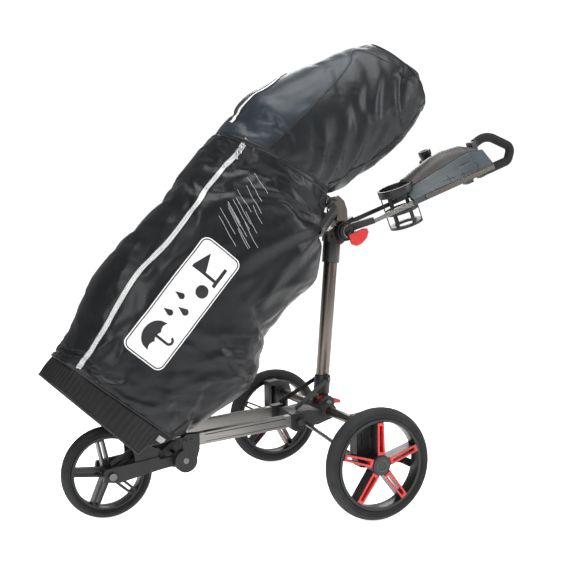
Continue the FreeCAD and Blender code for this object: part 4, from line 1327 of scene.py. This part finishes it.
def cord_lock(cloth):
    """Spring cord lock and drawn cord ends at the saddle."""
    spot, normal = cloth.on_loft(BODY_STATIONS, 9.72, 338)
    axis = Vector((COS_B, 0, SIN_B))
    centre = spot + normal * 0.0085
    mesh_object("cord_lock", lathe_data(centre, axis, LOCK_PROFILE, 24), "black_plastic")
    ends = []
    for k, drop in ((-1, 0.052), (1, 0.038)):
        start = centre + ACROSS * 0.0022 * k
        line = [start + axis * 0.009]
        for step in range(1, 9):
            f = step / 8
            line.append(start - axis * (0.012 + 0.006 * f)
                        + Vector((0.004 * math.sin(3 * f), 0.004 * k * f, -drop * f)))
        ends.append(tube_data(line, 0.0014, 8))
    mesh_object("cord_ends", merged(ends), "cord")


# ---- camera, light and floor ----------------------------------------------
CAMERA_PLACE = (-1.20975, -2.587, 0.825)
CAMERA_TURN = (-24.073, 4.722, -0.716)   # azimuth, height and roll in degrees
CAMERA_LENS, CAMERA_SENSOR = 65.85, 36.0
# Lamps: name, place, aim, size and power.
LAMPS = (("top", (0.1, -0.4, 3.2), (0, 0, 0.6), 2.2, 84),
         ("key", (-2.6, -2.6, 2.3), (0, 0, 0.6), 1.5, 52),
         ("side", (2.6, -1.6, 1.7), (0.1, 0, 0.6), 1.2, 38),
         ("rim", (1.2, 2.6, 2.4), (0, 0, 0.7), 1.5, 45))
SKY_POWER, SEEN_SKY_POWER = 0.30, 1.05
FLOOR_HALF, FLOOR_GLOW = 14.0, 0.82
WHITE = (1, 1, 1, 1)


def linked(kind, data):
    """New camera or lamp object."""
    obj = bpy.data.objects.new(kind, data)
    bpy.context.scene.collection.objects.link(obj)
    return obj


def set_camera():
    """Camera of the photo's view."""
    azimuth, height, roll = (math.radians(a) for a in CAMERA_TURN)
    data = bpy.data.cameras.new("camera")
    data.lens = CAMERA_LENS
    data.sensor_width = CAMERA_SENSOR
    camera = linked("camera", data)
    turns = [Matrix.Rotation(turn, 4, axis) for turn, axis in (
        (azimuth, "Z"), (math.pi / 2 - height, "X"), (roll, "Z"))]
    camera.matrix_world = Matrix.Translation(CAMERA_PLACE) @ turns[0] @ turns[1] @ turns[2]
    bpy.context.scene.camera = camera


def set_studio():
    """Lamps, a sky that looks white to the camera, and a pale floor."""
    world = bpy.data.worlds.new("studio")
    bpy.context.scene.world = world
    world.use_nodes = True
    tree = world.node_tree
    sky = put(tree, tree.nodes["Background"], Color=WHITE, Strength=SKY_POWER)
    seen = new_node(tree, "Background", Color=WHITE, Strength=SEEN_SKY_POWER)
    path = new_node(tree, "LightPath")
    mix = new_node(tree, "MixShader", Fac=path.outputs["Is Camera Ray"])
    for i, source in ((1, sky), (2, seen)):
        tree.links.new(source.outputs["Background"], mix.inputs[i])
    put(tree, tree.nodes["World Output"], Surface=mix.outputs["Shader"])
    for name, place, aim, size, power in LAMPS:
        data = bpy.data.lights.new(name, "AREA")
        data.shape = "SQUARE"
        data.size = size
        data.energy = power
        lamp = linked(name, data)
        lamp.location = place
        direction = Vector(aim) - Vector(place)
        lamp.rotation_euler = direction.to_track_quat("-Z", "Y").to_euler()
    bpy.context.scene.view_settings.view_transform = "Standard"
    look = Look("floor", 0.9, 0.0, 0.2)
    look.tint(look.noise(0.4, 4.0), (0.93, 0.93, 0.93), (0.96, 0.96, 0.96))
    look.shade(Emission_Color=WHITE, Emission_Strength=FLOOR_GLOW)
    half = FLOOR_HALF
    corners = [(-half, -half, 0), (half, -half, 0), (half, half, 0), (-half, half, 0)]
    floor = mesh_object("floor", (corners, [(0, 1, 2, 3)]), "floor", body=None,
                        smooth=False)


# ---- build ----------------------------------------------------------------
dress_cad_nodes()
body_cloth = cover_body()
hood_cloth = cover_hood()
band_cloth = cover_band()
cloth = Cloth((body_cloth, hood_cloth))
for trim in (main_zip, hood_zip, hood_seams, joining_seam, hem_seam, patch, pictogram,
             rain_streaks, snaps):
    trim(cloth)
band_trims(Cloth((body_cloth, hood_cloth, band_cloth)))
wheel_details()
bracket_screws()
rail_trims()
clamp_details()
foam_grip()
console_details()
cord_lock(cloth)
set_camera()
set_studio()
